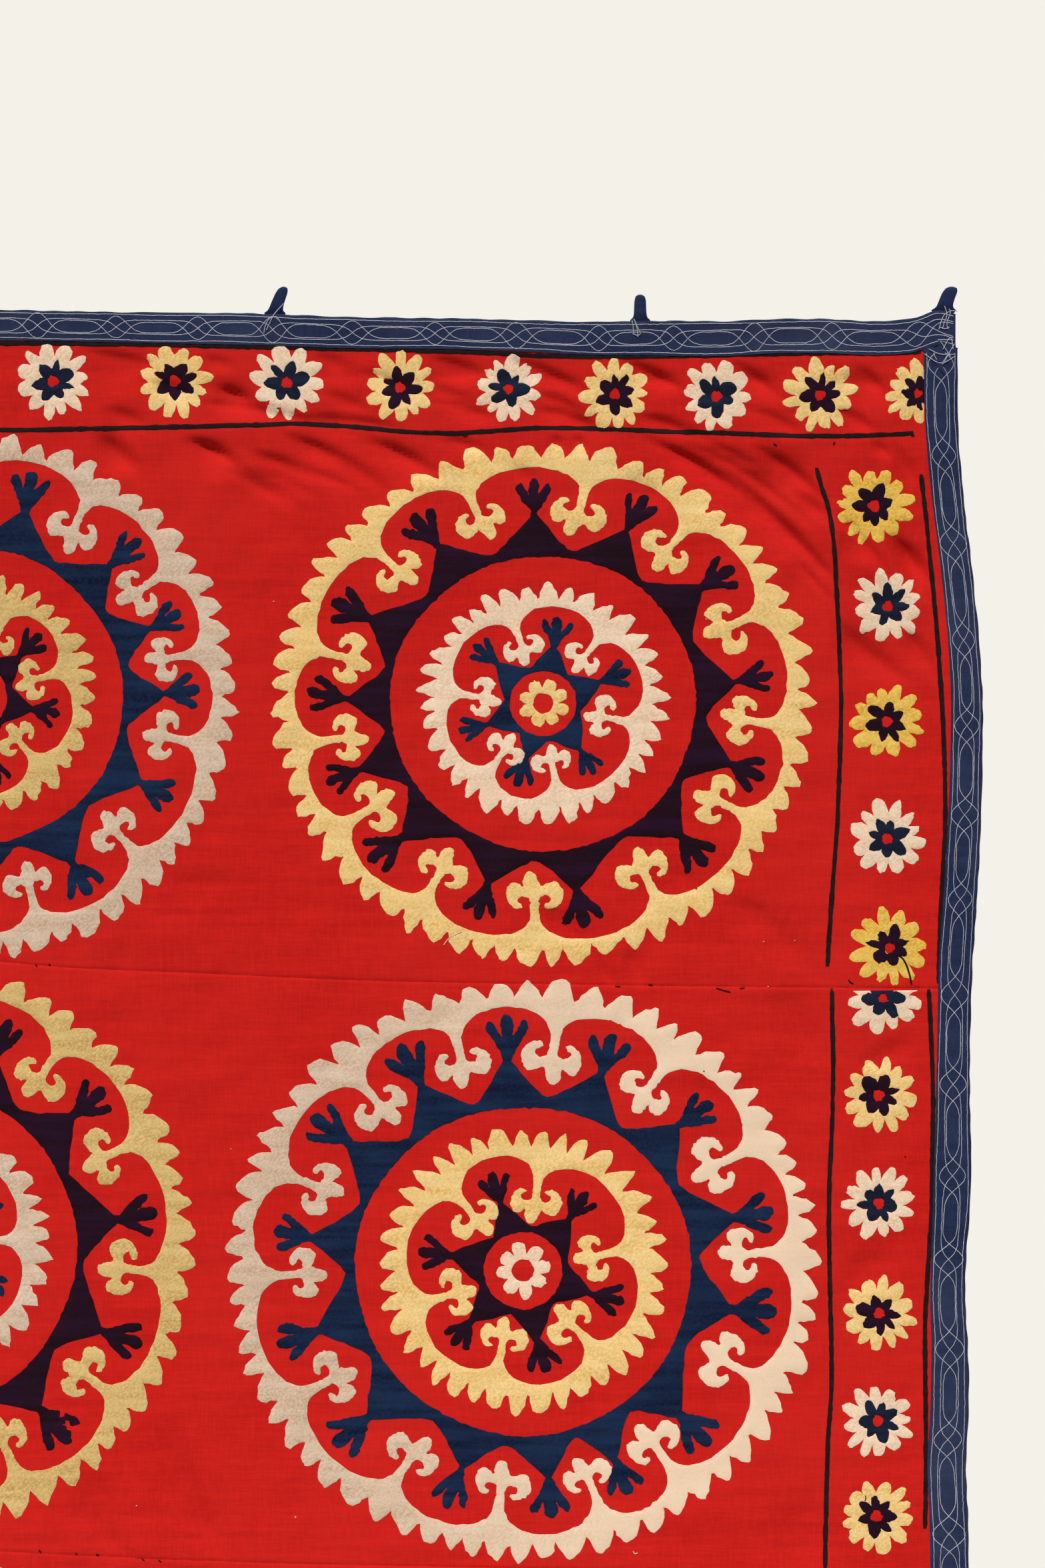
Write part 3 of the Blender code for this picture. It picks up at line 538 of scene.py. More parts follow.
# thread colours: base, darker speck, lighter streak, blotch
threadColours = {name: tuple(tint(*colour) for colour in colours) for name, colours in dict(
    straw=((218, 184, 116), (178, 142, 84), (228, 200, 140), (204, 166, 98)),
    milk=((214, 186, 160), (180, 150, 124), (228, 208, 186), (204, 172, 142)),
    cream=((240, 211, 180), (212, 178, 148), (246, 224, 198), (234, 200, 166)),
    corn=((240, 202, 132), (206, 166, 96), (246, 218, 158), (232, 188, 112)),
    amber=((236, 192, 86), (196, 150, 56), (244, 208, 112), (224, 172, 64)),
    indigo=((17, 31, 60), (9, 16, 36), (32, 56, 90), (14, 24, 50)),
    navy=((22, 27, 47), (13, 15, 28), (34, 48, 72), (20, 22, 38)),
    plum=((32, 9, 21), (22, 6, 14), (46, 17, 50), (28, 9, 18)),
    ink=((34, 20, 22), (22, 14, 16), (50, 30, 30), (30, 16, 18)),
    ash=((196, 196, 204), (152, 154, 164), (220, 220, 226), (176, 178, 186)),
).items()}
threadLook = dict(
    roughness=0.82, bump=0.20, stitches=560.0, streaks=95.0, streak=0.5, blotch=0.35,
    wear=0.4, grime=0.5, otherBatch=0.75,
)


def makeThread(name, colours, reverse=False, batch=None):
    look = threadLook
    base, dark, light, blotch = colours
    material, tree, shader = newMaterial(name, look["roughness"], clothShine)
    rows = placeGroup(tree, stitchRows, Stitch_Scale=look["stitches"], Streak_Scale=look["streaks"])
    age = placeGroup(tree, wear, Amount=look["wear"])
    colour = mixColours(tree, rows.outputs["Speck"], dark, base)
    colour = mixColours(tree, rows.outputs["Streak"], colour, light, look["streak"])
    colour = mixColours(tree, rows.outputs["Blotch"], colour, blotch, look["blotch"])
    colour = mixColours(tree, age.outputs["Grime"], colour, dark, look["grime"])
    if batch:  # another batch of thread takes over along x
        other, fromX, toX = batch
        place = addNode(tree, "ShaderNodeSeparateXYZ")
        tree.links.new(addNode(tree, "ShaderNodeTexCoord").outputs["Object"], place.inputs["Vector"])
        share = spread(tree, place.outputs["X"], fromX, toX)
        colour = mixColours(tree, share, colour, other, look["otherBatch"])
    if reverse:  # the back has short ties only, with the red cotton between them
        colour = mixColours(tree, rows.outputs["Speck"], redCotton["deep"], colour)
    tree.links.new(colour, shader.inputs["Base Color"])
    addBump(tree, shader, rows.outputs["Height"], look["bump"], bumpDepth)
    return material


cottonMaterial = makeCloth("redCotton", redCotton)
bindingMaterial = makeCloth("blueBinding", blueBinding)
tapeMaterial = makeCloth("blueTape", blueTape)
threads = {name: makeThread(name + "Thread", colours) for name, colours in threadColours.items()}
threads["pearl"] = makeThread(
    "pearlThread", threadColours["milk"], batch=(threadColours["cream"][0], 0.08, 0.42),
)
reverses = {
    name: makeThread(name + "Reverse", colours, True)
    for name, colours in threadColours.items() if name != "ash"
}
reverses["pearl"] = reverses["milk"]
print("materials made")


# the three strips of cotton

strips = {
    "panel_top": dict(upper=topEdge, lower=upperSeam, columns=326, rows=146, sewn=(False, True),
                      closeAcross=((0.0, 0.69, 0.75, 1.0), (1.0, 1.0, 2.0, 2.0)),
                      closeDown=((0.0, 0.40, 0.56, 1.0), (2.0, 2.0, 0.8, 0.8))),
    "panel_middle": dict(upper=upperSeam, lower=lowerSeam, columns=226, rows=92, sewn=(True, True)),
    "panel_bottom": dict(upper=lowerSeam, lower=bottomEdge, columns=222, rows=100, sewn=(True, False)),
}
evenly = ((0.0, 1.0), (1.0, 1.0))


def closer(steps, density):  # shares of a length, closer where the density is greater
    fine = np.linspace(0.0, 1.0, 2001)
    weight = np.interp(fine, *density)
    total = np.concatenate([[0.0], np.cumsum(weight[1:] + weight[:-1])])
    return np.interp(np.linspace(0.0, 1.0, steps + 1), total / total[-1], fine)


def rowShares(rows, height, sewn, density):  # closer rows where the cotton turns into a seam
    close = np.array(cloth["seamRows"]) / height
    first = close if sewn[0] else np.array([0.0])
    last = 1.0 - close[::-1] if sewn[1] else np.array([1.0])
    between = rows + 1 - len(first) - len(last)
    middle = first[-1] + (last[0] - first[-1]) * closer(between + 1, density)[1:-1]
    return np.concatenate([first, middle, last])


def clothPlace(across, down, upperEdge, lowerEdge, upperInset, lowerInset):
    x = (across - 0.5) * 2 * rightEdge[0][1]
    for _ in range(4):  # where the side and level lines cross
        upper = curveValue(upperEdge, x) - upperInset
        lower = curveValue(lowerEdge, x) + lowerInset
        z = upper + (lower - upper) * down
        left = curveValue(leftEdge, z) + cloth["edgeInset"]
        right = curveValue(rightEdge, z) - cloth["edgeInset"]
        x = left + (right - left) * across
    return x, z


def makePanel(name):
    strip = strips[name]
    columns, rows, sewn = strip["columns"], strip["rows"], strip["sewn"]
    insets = [cloth["seamGap"] if joined else cloth["edgeInset"] for joined in sewn]
    height = strip["upper"][0][1] - strip["lower"][0][1]
    across = closer(columns, strip.get("closeAcross", evenly))
    down = rowShares(rows, height, sewn, strip.get("closeDown", evenly))

    def place(column, row):
        x, z = clothPlace(across[column], down[row], strip["upper"], strip["lower"], *insets)
        return x, hangDepth(x, z) + seamDip(x, z), z

    panel = newGrid(name + "_cotton", columns, rows)
    moveGrid(panel, columns, rows, place)
    thicken(panel, cloth["thickness"])
    applyAll(panel)
    panel.data.materials.append(cottonMaterial)
    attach(panel, "root")
    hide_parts(name)
    return panel


panels = {name: makePanel(name) for name in strips}
print("cotton strips made")


# embroidery: closed patches that go through the cotton, full in front and flat behind

stitching = dict(
    rim=0.00026, shoulder=0.00052, crown=0.00066, behind=0.0002, inset=0.0011, insetKept=0.8,
    fullFrom=0.0030, evenRim=0.0005, lattice=0.0075, backLattice=0.018, ragged=0.00045,
    uneven=0.000035, rowPitch=0.866, shake=0.1, clearance=0.38, smoothBelow=55.0,
)
draw = np.random.default_rng(41)
block = 1500  # points that are looked at together


def signedArea(loop):
    follow = np.roll(loop, -1, axis=0)
    return 0.5 * np.sum(loop[:, 0] * follow[:, 1] - follow[:, 0] * loop[:, 1])


def inLoops(points, loops):  # inside an odd number of the loops
    inside = np.zeros(len(points), dtype=bool)
    for loop in loops:
        x0, z0 = loop[:, 0], loop[:, 1]
        x1, z1 = np.roll(x0, -1), np.roll(z0, -1)
        rise = np.where(z1 == z0, 1.0, z1 - z0)
        for start in range(0, len(points), block):
            px, pz = points[start:start + block].T[:, :, None]
            crosses = (z0 > pz) != (z1 > pz)
            left = px < (x1 - x0) * (pz - z0) / rise + x0
            inside[start:start + block] ^= (np.sum(crosses & left, axis=1) % 2).astype(bool)
    return inside


def fromOutline(points, loops):  # distance to the nearest edge of the loops
    nearest = np.full(len(points), np.inf)
    for loop in loops:
        x0, z0 = loop[:, 0], loop[:, 1]
        dx, dz = np.roll(x0, -1) - x0, np.roll(z0, -1) - z0
        square = np.maximum(dx * dx + dz * dz, 1e-12)
        for start in range(0, len(points), block):
            px, pz = points[start:start + block].T[:, :, None]
            px, pz = px - x0, pz - z0
            t = np.clip((px * dx + pz * dz) / square, 0.0, 1.0)
            away = np.sqrt(np.min((px - t * dx) ** 2 + (pz - t * dz) ** 2, axis=1))
            nearest[start:start + block] = np.minimum(nearest[start:start + block], away)
    return nearest


def leftNormals(loop):
    along = np.roll(loop, -1, axis=0) - np.roll(loop, 1, axis=0)
    along /= np.maximum(np.linalg.norm(along, axis=1), 1e-9)[:, None]
    return np.column_stack([-along[:, 1], along[:, 0]])


def raggedLoop(loop, inward, ragged):  # the outer loop turns left, a hole turns right
    if (signedArea(loop) > 0) != (not inward):
        loop = loop[::-1]
    return loop + leftNormals(loop) * draw.normal(0.0, ragged, len(loop))[:, None]


def latticePoints(loops, spacing):
    allPoints = np.concatenate(loops)
    low, high = allPoints.min(axis=0), allPoints.max(axis=0)
    rows = np.arange(low[1], high[1], spacing * stitching["rowPitch"])
    points = []
    for index, z in enumerate(rows):
        x = np.arange(low[0] + (index % 2) * spacing / 2, high[0], spacing)
        points.append(np.column_stack([x, np.full(len(x), z)]))
    points = np.concatenate(points)
    points = points + draw.uniform(-stitching["shake"], stitching["shake"], points.shape) * spacing
    points = points[inLoops(points, loops)]
    return points[fromOutline(points, loops) > spacing * stitching["clearance"]]


def fillLoops(loops, extra):  # triangles that turn left, and where each outline point went
    outline = np.concatenate(loops)
    points = np.concatenate([outline, extra]) if len(extra) else outline
    edges, start = [], 0
    for loop in loops:
        count = len(loop)
        edges += [(start + index, start + (index + 1) % count) for index in range(count)]
        start += count
    found = delaunay_2d_cdt([Vector(point) for point in points.tolist()], edges, [], 0, 1e-7)
    places = np.array([tuple(point) for point in found[0]])
    triangles = np.array([face for face in found[2] if len(face) == 3])
    centres = places[triangles].mean(axis=1)
    triangles = triangles[inLoops(centres, loops)]
    a, b, c = (places[triangles[:, corner]] for corner in range(3))
    turn = (b[:, 0] - a[:, 0]) * (c[:, 1] - a[:, 1]) - (b[:, 1] - a[:, 1]) * (c[:, 0] - a[:, 0])
    triangles[turn < 0] = triangles[turn < 0][:, ::-1]
    where = np.zeros(len(outline), dtype=int)
    for index, sources in enumerate(found[3]):
        for source in sources:
            if source < len(outline):
                where[source] = index
    return places, triangles, where, edges


def addPatch(store, loops, front, back, raised=0.0, **more):
    look = dict(stitching, **more)
    half = cloth["thickness"] / 2
    loops = [raggedLoop(loop, index > 0, look["ragged"]) for index, loop in enumerate(loops)]
    inset = np.concatenate([loop + leftNormals(loop) * look["inset"] for loop in loops])
    inset = inset[inLoops(inset, loops)]
    inset = inset[fromOutline(inset, loops) > look["inset"] * look["insetKept"]]
    extra = np.concatenate([inset, latticePoints(loops, look["lattice"])])
    places, triangles, where, edges = fillLoops(loops, extra)
    away = fromOutline(places, loops)
    rise = np.interp(away, (0.0, look["inset"], look["fullFrom"]),
                     (look["rim"], look["shoulder"], look["crown"]))
    rise += raised + draw.normal(0.0, look["uneven"], len(rise)) * (away > look["evenRim"])
    behindPlaces, behindTriangles, behindWhere, _ = fillLoops(
        loops, latticePoints(loops, look["backLattice"])
    )
    first = store["count"]
    second = first + len(places)
    rims = [(where[i] + first, behindWhere[i] + second, behindWhere[j] + second, where[j] + first)
            for i, j in edges]
    store["places"] += [places, behindPlaces]
    store["lifts"] += [half + rise, np.full(len(behindPlaces), -half - look["behind"])]
    for faces, slot in (((triangles + first).tolist(), front),
                        ((behindTriangles[:, ::-1] + second).tolist(), back), (rims, front)):
        store["faces"] += faces
        store["slots"] += [slot] * len(faces)
    store["count"] = second + len(behindPlaces)


def newStore():
    return dict(places=[], lifts=[], faces=[], slots=[], count=0, materials=[])


def slotOf(store, material):
    if material not in store["materials"]:
        store["materials"].append(material)
    return store["materials"].index(material)


def sewPatch(store, loops, colour, **more):
    addPatch(store, loops, slotOf(store, threads[colour]), slotOf(store, reverses[colour]), **more)


def sewnPiece(name, store):
    places = np.concatenate(store["places"])
    y = onCloth(places[:, 0], places[:, 1], np.concatenate(store["lifts"]))
    mesh = bpy.data.meshes.new(name)
    mesh.from_pydata(np.column_stack([places[:, 0], y, places[:, 1]]).tolist(), [], store["faces"])
    mesh.validate()
    for material in store["materials"]:
        mesh.materials.append(material)
    if len(mesh.polygons) == len(store["slots"]):
        mesh.polygons.foreach_set("material_index", store["slots"])
    else:
        print("note:", name, "lost faces", len(store["slots"]) - len(mesh.polygons))
    piece = bpy.data.objects.new(name, mesh)
    bpy.context.scene.collection.objects.link(piece)
    smoothFaces(piece, stitching["smoothBelow"])
    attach(piece, "root")
    return piece


# outlines of the motifs; a ring is drawn with a tip radius of 1 and turns clockwise

def softCurve(points, spacing):  # a smooth path through the points, in even steps
    points = np.array(points, dtype=float)
    wide = np.concatenate([2 * points[:1] - points[1:2], points, 2 * points[-1:] - points[-2:-1]])
    t = np.linspace(0.0, 1.0, 8, endpoint=False)[:, None]
    pieces = []
    for index in range(len(wide) - 3):
        a, b, c, d = wide[index:index + 4]
        pieces.append(0.5 * (2 * b + (c - a) * t + (2 * a - 5 * b + 4 * c - d) * t ** 2
                             + (3 * b - a - 3 * c + d) * t ** 3))
    curve = np.concatenate(pieces + [points[-1:]])
    length = np.concatenate([[0.0], np.cumsum(np.linalg.norm(np.diff(curve, axis=0), axis=1))])
    count = max(4, int(round(length[-1] / spacing)))
    stations = np.linspace(0.0, length[-1], count + 1)
    return np.column_stack([np.interp(stations, length, curve[:, axis]) for axis in (0, 1)])


def towards(angle, radius, across=0.0):  # a place at an angle, then a step clockwise
    angle = np.radians(angle)
    return np.column_stack([
        np.cos(angle) * radius + np.sin(angle) * across,
        np.sin(angle) * radius - np.cos(angle) * across,
    ])


def turned(template, degrees):
    angle = math.radians(degrees)
    across, out = template[:, 0], template[:, 1]
    return np.column_stack([across * math.cos(angle) + out * math.sin(angle),
                            out * math.cos(angle) - across * math.sin(angle)])


fleur = np.array([  # ram's horn scroll: across and outward, from the left of its neck to the right
    (-6.5, 25), (-6.3, 12), (-6.5, 2), (-11, -2.5), (-17.5, -3.5), (-23.5, 0), (-24.5, 5), (-18.5, 8),
    (-16.5, 12), (-21, 15.5), (-28, 14.5), (-35.5, 7.5), (-39.6, -4), (-38.5, -15), (-32.8, -23.5),
    (-24, -23), (-16, -17), (-15.5, -24), (-15, -32), (-10, -38.5), (-4, -40), (1.5, -36), (5, -27),
    (9.7, -18), (18.5, -22), (30, -25), (38, -17), (42, -4.5), (38, 7), (27, 15), (17, 15.5),
    (13.5, 11), (18, 7.5), (23.5, 4), (21.4, -2.5), (15, -4.5), (8, -1.5), (6, 6), (6.3, 19),
])
paw = np.array([  # three leaf shaped fingers on a narrow wrist
    (-5.5, -2), (-7.5, 7), (-16, 20), (-25, 35), (-29, 44), (-27, 51), (-20.5, 51.5), (-14, 42),
    (-8, 32), (-9.2, 43), (-8.6, 53), (-4, 60), (4, 60), (8.6, 53), (9.2, 43), (8, 32),
    (14, 42), (20.5, 51.5), (27, 51), (29, 44), (25, 35), (16, 20), (7.5, 7), (5.5, -2),
])
lump = np.array([  # one tooth: share of its width, share of its height; its steep side comes last
    (0.00, 0.00), (0.10, 0.30), (0.22, 0.62), (0.36, 0.84), (0.52, 0.96), (0.66, 1.00), (0.78, 0.97),
    (0.87, 0.82), (0.91, 0.58), (0.94, 0.32), (0.97, 0.12),
])
wedge = np.array([
    (0.00, 0.00), (0.10, 0.17), (0.22, 0.36), (0.35, 0.55), (0.48, 0.74), (0.60, 0.90), (0.70, 1.00),
    (0.79, 0.88), (0.87, 0.62), (0.92, 0.34), (0.96, 0.12),
])


motif = dict(  # how uneven each part of a motif is
    toothPitch=(0.76, 1.24), toothOff=0.018, toothNarrow=0.98, toothTilt=0.16, toothTall=(0.70, 1.10),
    toothShares=(0.005, 0.99), roomLeast=0.62, roomBase=0.46, roomGain=0.044,
    fleurSizes=(0.94, 1.06), fleurStretch=(0.95, 1.05), fleurTurn=7, bayOff=0.008, bayRound=0.8,
    pawSizes=(0.92, 1.08), pawStretch=(0.88, 1.12), pawOff=0.9, pawTurn=9, neckOff=0.012,
    dipOff=0.006, dipSharp=1.5, petalPitch=3, petalTall=1.4, petalFull=(0.75, 1.5), petalSkew=2.0,
    petalSteps=11,
)


def either(size):  # a draw from -size to size
    return draw.uniform(-size, size)


def teethLoop(count, height, lean):  # the steep sides look down on both sides of the ring
    pitches = draw.uniform(*motif["toothPitch"], count)
    pitches *= 360.0 / pitches.sum()
    start = draw.uniform(0.0, 360.0)
    angles, radii = [], []
    for pitch in pitches:
        side = math.cos(math.radians(start))
        kind = draw.uniform(0.0, 1.0)
        tooth = lump * (1 - kind) + wedge * kind + draw.normal(0.0, motif["toothOff"], lump.shape)
        middle = 0.5 + (tooth[:, 0] - 0.5) * (1 if side >= 0 else -1)
        even = 0.5 + (middle - 0.5) * motif["toothNarrow"]
        even -= motif["toothTilt"] * np.sign(side) * tooth[:, 1]
        share = even + (middle - even) * min(1.0, abs(side) * lean)
        tall = height * draw.uniform(*motif["toothTall"]) * np.maximum(tooth[:, 1], 0.0)
        if side < 0:
            share, tall = share[::-1], tall[::-1]
        share = np.clip(np.maximum.accumulate(share), *motif["toothShares"])
        angles.extend(start - pitch * share)
        radii.extend(1 - height + tall)
        start -= pitch
    return towards(np.array(angles), np.array(radii))


def polarOf(place):
    return math.degrees(math.atan2(place[1], place[0])), math.hypot(place[0], place[1])


def joined(pieces, between):  # shapes one after another, with a curve between each two
    loop = []
    for index, piece in enumerate(pieces):
        follow = pieces[(index + 1) % len(pieces)]
        loop.append(piece)
        startAngle, startRadius = polarOf(piece[-1])
        endAngle, endRadius = polarOf(follow[0])
        while endAngle > startAngle:
            endAngle -= 360.0
        loop.append(between(index, startAngle, startRadius, endAngle, endRadius))
    return np.concatenate(loop)


def roomFor(angle, others):  # a shape is smaller where its neighbour stands close
    gap = min(abs((angle - other + 180.0) % 360.0 - 180.0) for other in others)
    return min(1.0, max(motif["roomLeast"], motif["roomBase"] + motif["roomGain"] * gap))


def innerEdge(ring, spacing):  # the light ring's inner edge: scrolls with a bay between each two
    pieces = []
    for angle in ring["fleurs"]:
        size = ring["fleurSize"] * draw.uniform(*motif["fleurSizes"]) * roomFor(angle, ring["paws"])
        shape = fleur * (size, size * draw.uniform(*motif["fleurStretch"]))
        shape = turned(shape, either(motif["fleurTurn"]))
        if draw.random() < 0.5:
            shape = (shape * (-1, 1))[::-1]
        shape = softCurve(shape, spacing)
        pieces.append(towards(angle, ring["fleurRadius"] + shape[:, 1], shape[:, 0]))

    def bay(index, startAngle, startRadius, endAngle, endRadius):
        swing = np.linspace(0.0, math.pi, ring["baySteps"])[1:-1]
        half = (startAngle - endAngle) / 2
        angles = (startAngle + endAngle) / 2 + half * np.cos(swing)
        base = startRadius + (endRadius - startRadius) * (1 - np.cos(swing)) / 2
        top = ring["bayTop"] + either(motif["bayOff"])
        return towards(angles, base + (top - base) * np.sin(swing) ** motif["bayRound"])

    return joined(pieces, bay)


def darkEdge(ring, spacing):  # the dark ring's outer edge: peaks with paws, and a dip below each scroll
    pieces = []
    for angle in ring["paws"]:
        size = ring["pawSize"] * draw.uniform(*motif["pawSizes"]) * roomFor(angle, ring["fleurs"])
        shape = paw * (size * draw.uniform(*motif["pawStretch"]), size)
        shape = shape + draw.normal(0, motif["pawOff"] * size, shape.shape)
        shape = turned(shape, either(motif["pawTurn"]))
        shape = softCurve(shape, spacing)
        neck = ring["pawNeck"] + either(motif["neckOff"])
        pieces.append(towards(angle, neck + shape[:, 1], shape[:, 0]))

    def dip(index, startAngle, startRadius, endAngle, endRadius):
        middle = ring["fleurs"][(index + ring["firstFleur"]) % len(ring["fleurs"])]
        while middle > startAngle:
            middle -= 360.0
        while middle < startAngle - 360.0:
            middle += 360.0
        if not endAngle < middle < startAngle:
            middle = (startAngle + endAngle) / 2
        side = np.linspace(1.0, 0.0, ring["dipSteps"])[1:]
        low = ring["dip"] + either(motif["dipOff"])
        down = low + (startRadius - low) * side ** motif["dipSharp"]
        up = (low + (endRadius - low) * side ** motif["dipSharp"])[::-1][1:]
        angles = np.concatenate([middle + (startAngle - middle) * side,
                                 middle + (endAngle - middle) * side[::-1][1:]])
        return towards(angles[:-1], np.concatenate([down, up])[:-1])

    return joined(pieces, dip)


def circleLoop(radius, spacing, wobble=0.006):
    count = max(16, int(2 * math.pi * radius / spacing))
    angles = np.linspace(0.0, 360.0, count, endpoint=False)
    phase = draw.uniform(0, 6.28, 2)
    radii = radius * (1 + wobble * np.sin(np.radians(angles) * 3 + phase[0])
                      + wobble * 0.7 * np.sin(np.radians(angles) * 7 + phase[1]))
    return towards(-angles, radii)


def petalLoop(count, radius, valley, fullness, uneven=0.06):
    pitches = draw.uniform(1 - motif["petalPitch"] * uneven, 1 + motif["petalPitch"] * uneven, count)
    pitches *= 360.0 / pitches.sum()
    start = draw.uniform(0.0, 360.0)
    angles, radii = [], []
    low = valley * (1 + draw.uniform(-uneven, uneven, count + 1))  # the last valley is the first
    low[-1] = low[0]
    for index, pitch in enumerate(pitches):
        tall = radius * (1 + draw.uniform(-motif["petalTall"] * uneven, uneven))
        full = fullness * draw.uniform(*motif["petalFull"])
        skew = either(motif["petalSkew"]) * uneven
        for share in np.linspace(-1.0, 1.0, motif["petalSteps"])[:-1]:
            middle = share + skew * (1 - share * share)
            angles.append(start - pitch * (middle + 1) / 2)
            foot = low[index] if share < 0 else low[index + 1]
            radii.append(foot + (tall - foot) * (1 - abs(share) ** full) * (1 + 0.5 * skew * share))
        start -= pitch
    return towards(np.array(angles), np.array(radii))


outerRing = dict(
    toothHeight=0.068, lean=2.2, fleurRadius=0.741, fleurSize=1 / 410, bayTop=0.905, baySteps=27,
    darkInner=0.56, dip=0.593, dipSteps=9, pawNeck=0.715, pawSize=1 / 410,
)
innerRing = dict(
    toothHeight=0.145, lean=2.2, fleurRadius=0.50, fleurSize=0.78 / 190, bayTop=0.80, baySteps=17,
    darkInner=0.265, dip=0.31, dipSteps=6, pawNeck=0.48, pawSize=0.75 / 190,
)


def evenAngles(start, count):
    return [start - 360.0 * index / count for index in range(count)]


# centre, reach to the right, left, up and down, colours, teeth, and where the scrolls and paws point
rosettes = [
    dict(
        name="rosette_top_right", centre=(0.3117, -0.4271), reach=(0.2993, 0.2993, 0.2884, 0.2884),
        light="corn", dark="plum", innerLight="cream", innerDark="indigo", core="corn",
        teeth=62, innerTeeth=36, innerShare=0.463,
        fleurs=[79.8, 52.1, 23.1, -5.0, -30.1, -60.2, -92.5, -120.3, -147.6, -169.7, -193.5, -223.5,
            -251.7],
        paws=[92.7, 65.0, 37.1, 6.7, -18.5, -44.9, -80.3, -106.6, -135.5, -159.6, -181.5, -207.1,
            -237.5],
        innerFleurs=[109.5, 50.0, -13.0, -82.0, -128.0, -186.0],
        innerPaws=[138.0, 79.7, 21.5, -52.5, -107.5, -158.5],
    ),
    dict(
        name="rosette_top_left", centre=(-0.3110, -0.4198), reach=(0.2898, 0.2898, 0.2898, 0.2898),
        light="milk", dark="indigo", innerLight="straw", innerDark="plum", core="milk",
        teeth=60, innerTeeth=35, innerShare=0.47,
        fleurs=[90.0, 59.4, 32.7, 11.2, -11.7, -43.7, -73.9, -102.0, -130.0, -158.0, -186.0, -214.0,
            -242.0],
        paws=[104.0, 74.7, 44.0, 21.2, 0.7, -27.4, -59.3, -88.0, -116.0, -144.0, -172.0, -200.0,
            -228.0],
        innerFleurs=[70.0, 16.0, -45.0, -104.0, -165.0, -226.0],
        innerPaws=[100.0, 42.0, -12.0, -74.0, -134.0, -196.0],
    ),
    dict(
        name="rosette_middle_right", centre=(0.2898, -1.0476), reach=(0.3285, 0.3285, 0.3212, 0.3212),
        light="pearl", dark="indigo", innerLight="corn", innerDark="plum", core="cream",
        teeth=66, innerTeeth=38, innerShare=0.495,
        fleurs=[157.6, 130.5, 106.1, 82.4, 56.1, 29.4, 4.3, -24.6, -53.5, -73.0, -95.5, -120.4, -149.8,
            -179.0],
        paws=[170.9, 143.3, 118.4, 94.1, 68.7, 43.7, 14.3, -10.6, -43.4, -64.6, -83.2, -107.0, -135.8,
            -163.1],
        innerFleurs=[132.0, 80.0, 10.7, -49.0, -105.5, -161.0],
        innerPaws=[168.0, 108.0, 49.0, -19.0, -79.0, -135.0],
    ),
    dict(
        name="rosette_middle_left", centre=(-0.3672, -1.0235), reach=(0.2993, 0.2720, 0.3140, 0.3140),
        light="straw", dark="plum", innerLight="milk", innerDark="indigo", core="straw",
        teeth=60, innerTeeth=36, innerShare=0.48,
        fleurs=[84.0, 54.1, 25.8, -5.4, -36.4, -66.7, -97.0, -127.0, -157.0, -187.0, -217.0, -247.0],
        paws=[98.0, 68.3, 40.0, 8.1, -23.6, -52.7, -82.0, -112.0, -142.0, -172.0, -202.0, -232.0],
        innerFleurs=[65.0, 5.0, -55.0, -115.0, -175.0, -235.0],
        innerPaws=[95.0, 35.0, -25.0, -85.0, -145.0, -205.0],
    ),
    dict(
        name="rosette_bottom_right", centre=(0.3020, -1.6600), reach=(0.2930, 0.2930, 0.2800, 0.2820),
        light="corn", dark="plum", innerLight="cream", innerDark="indigo", core="corn",
        teeth=61, innerTeeth=36, innerShare=0.47,
        fleurs=evenAngles(97.0, 13), paws=evenAngles(111.0, 13),
        innerFleurs=evenAngles(84.0, 6), innerPaws=evenAngles(112.0, 6),
    ),
    dict(
        name="rosette_bottom_left", centre=(-0.3180, -1.6500), reach=(0.2900, 0.2900, 0.2830, 0.2850),
        light="milk", dark="indigo", innerLight="straw", innerDark="plum", core="milk",
        teeth=60, innerTeeth=36, innerShare=0.47,
        fleurs=evenAngles(88.0, 13), paws=evenAngles(102.0, 13),
        innerFleurs=evenAngles(70.0, 6), innerPaws=evenAngles(99.0, 6),
    ),
]


def firstFleur(fleurs, paws):  # the scroll that follows the first paw clockwise
    gaps = [(paws[0] - angle) % 360.0 for angle in fleurs]
    return int(np.argmin(gaps))


def setOut(loop, rosette, share=1.0):  # from a ring of radius 1 to its place
    right, left, up, down = rosette["reach"]
    across, out = loop[:, 0] * share, loop[:, 1] * share
    x = rosette["centre"][0] + across * np.where(across > 0, right, left)
    z = rosette["centre"][1] + out * np.where(out > 0, up, down)
    return np.column_stack([x, z])


ringSewing = dict(
    step=0.0028, darkStep=1.15, innerStep=1.6, core=(8, 0.095, 0.058, 2.6), hole=0.038, holeStep=0.010,
    coreLattice=0.005,
)


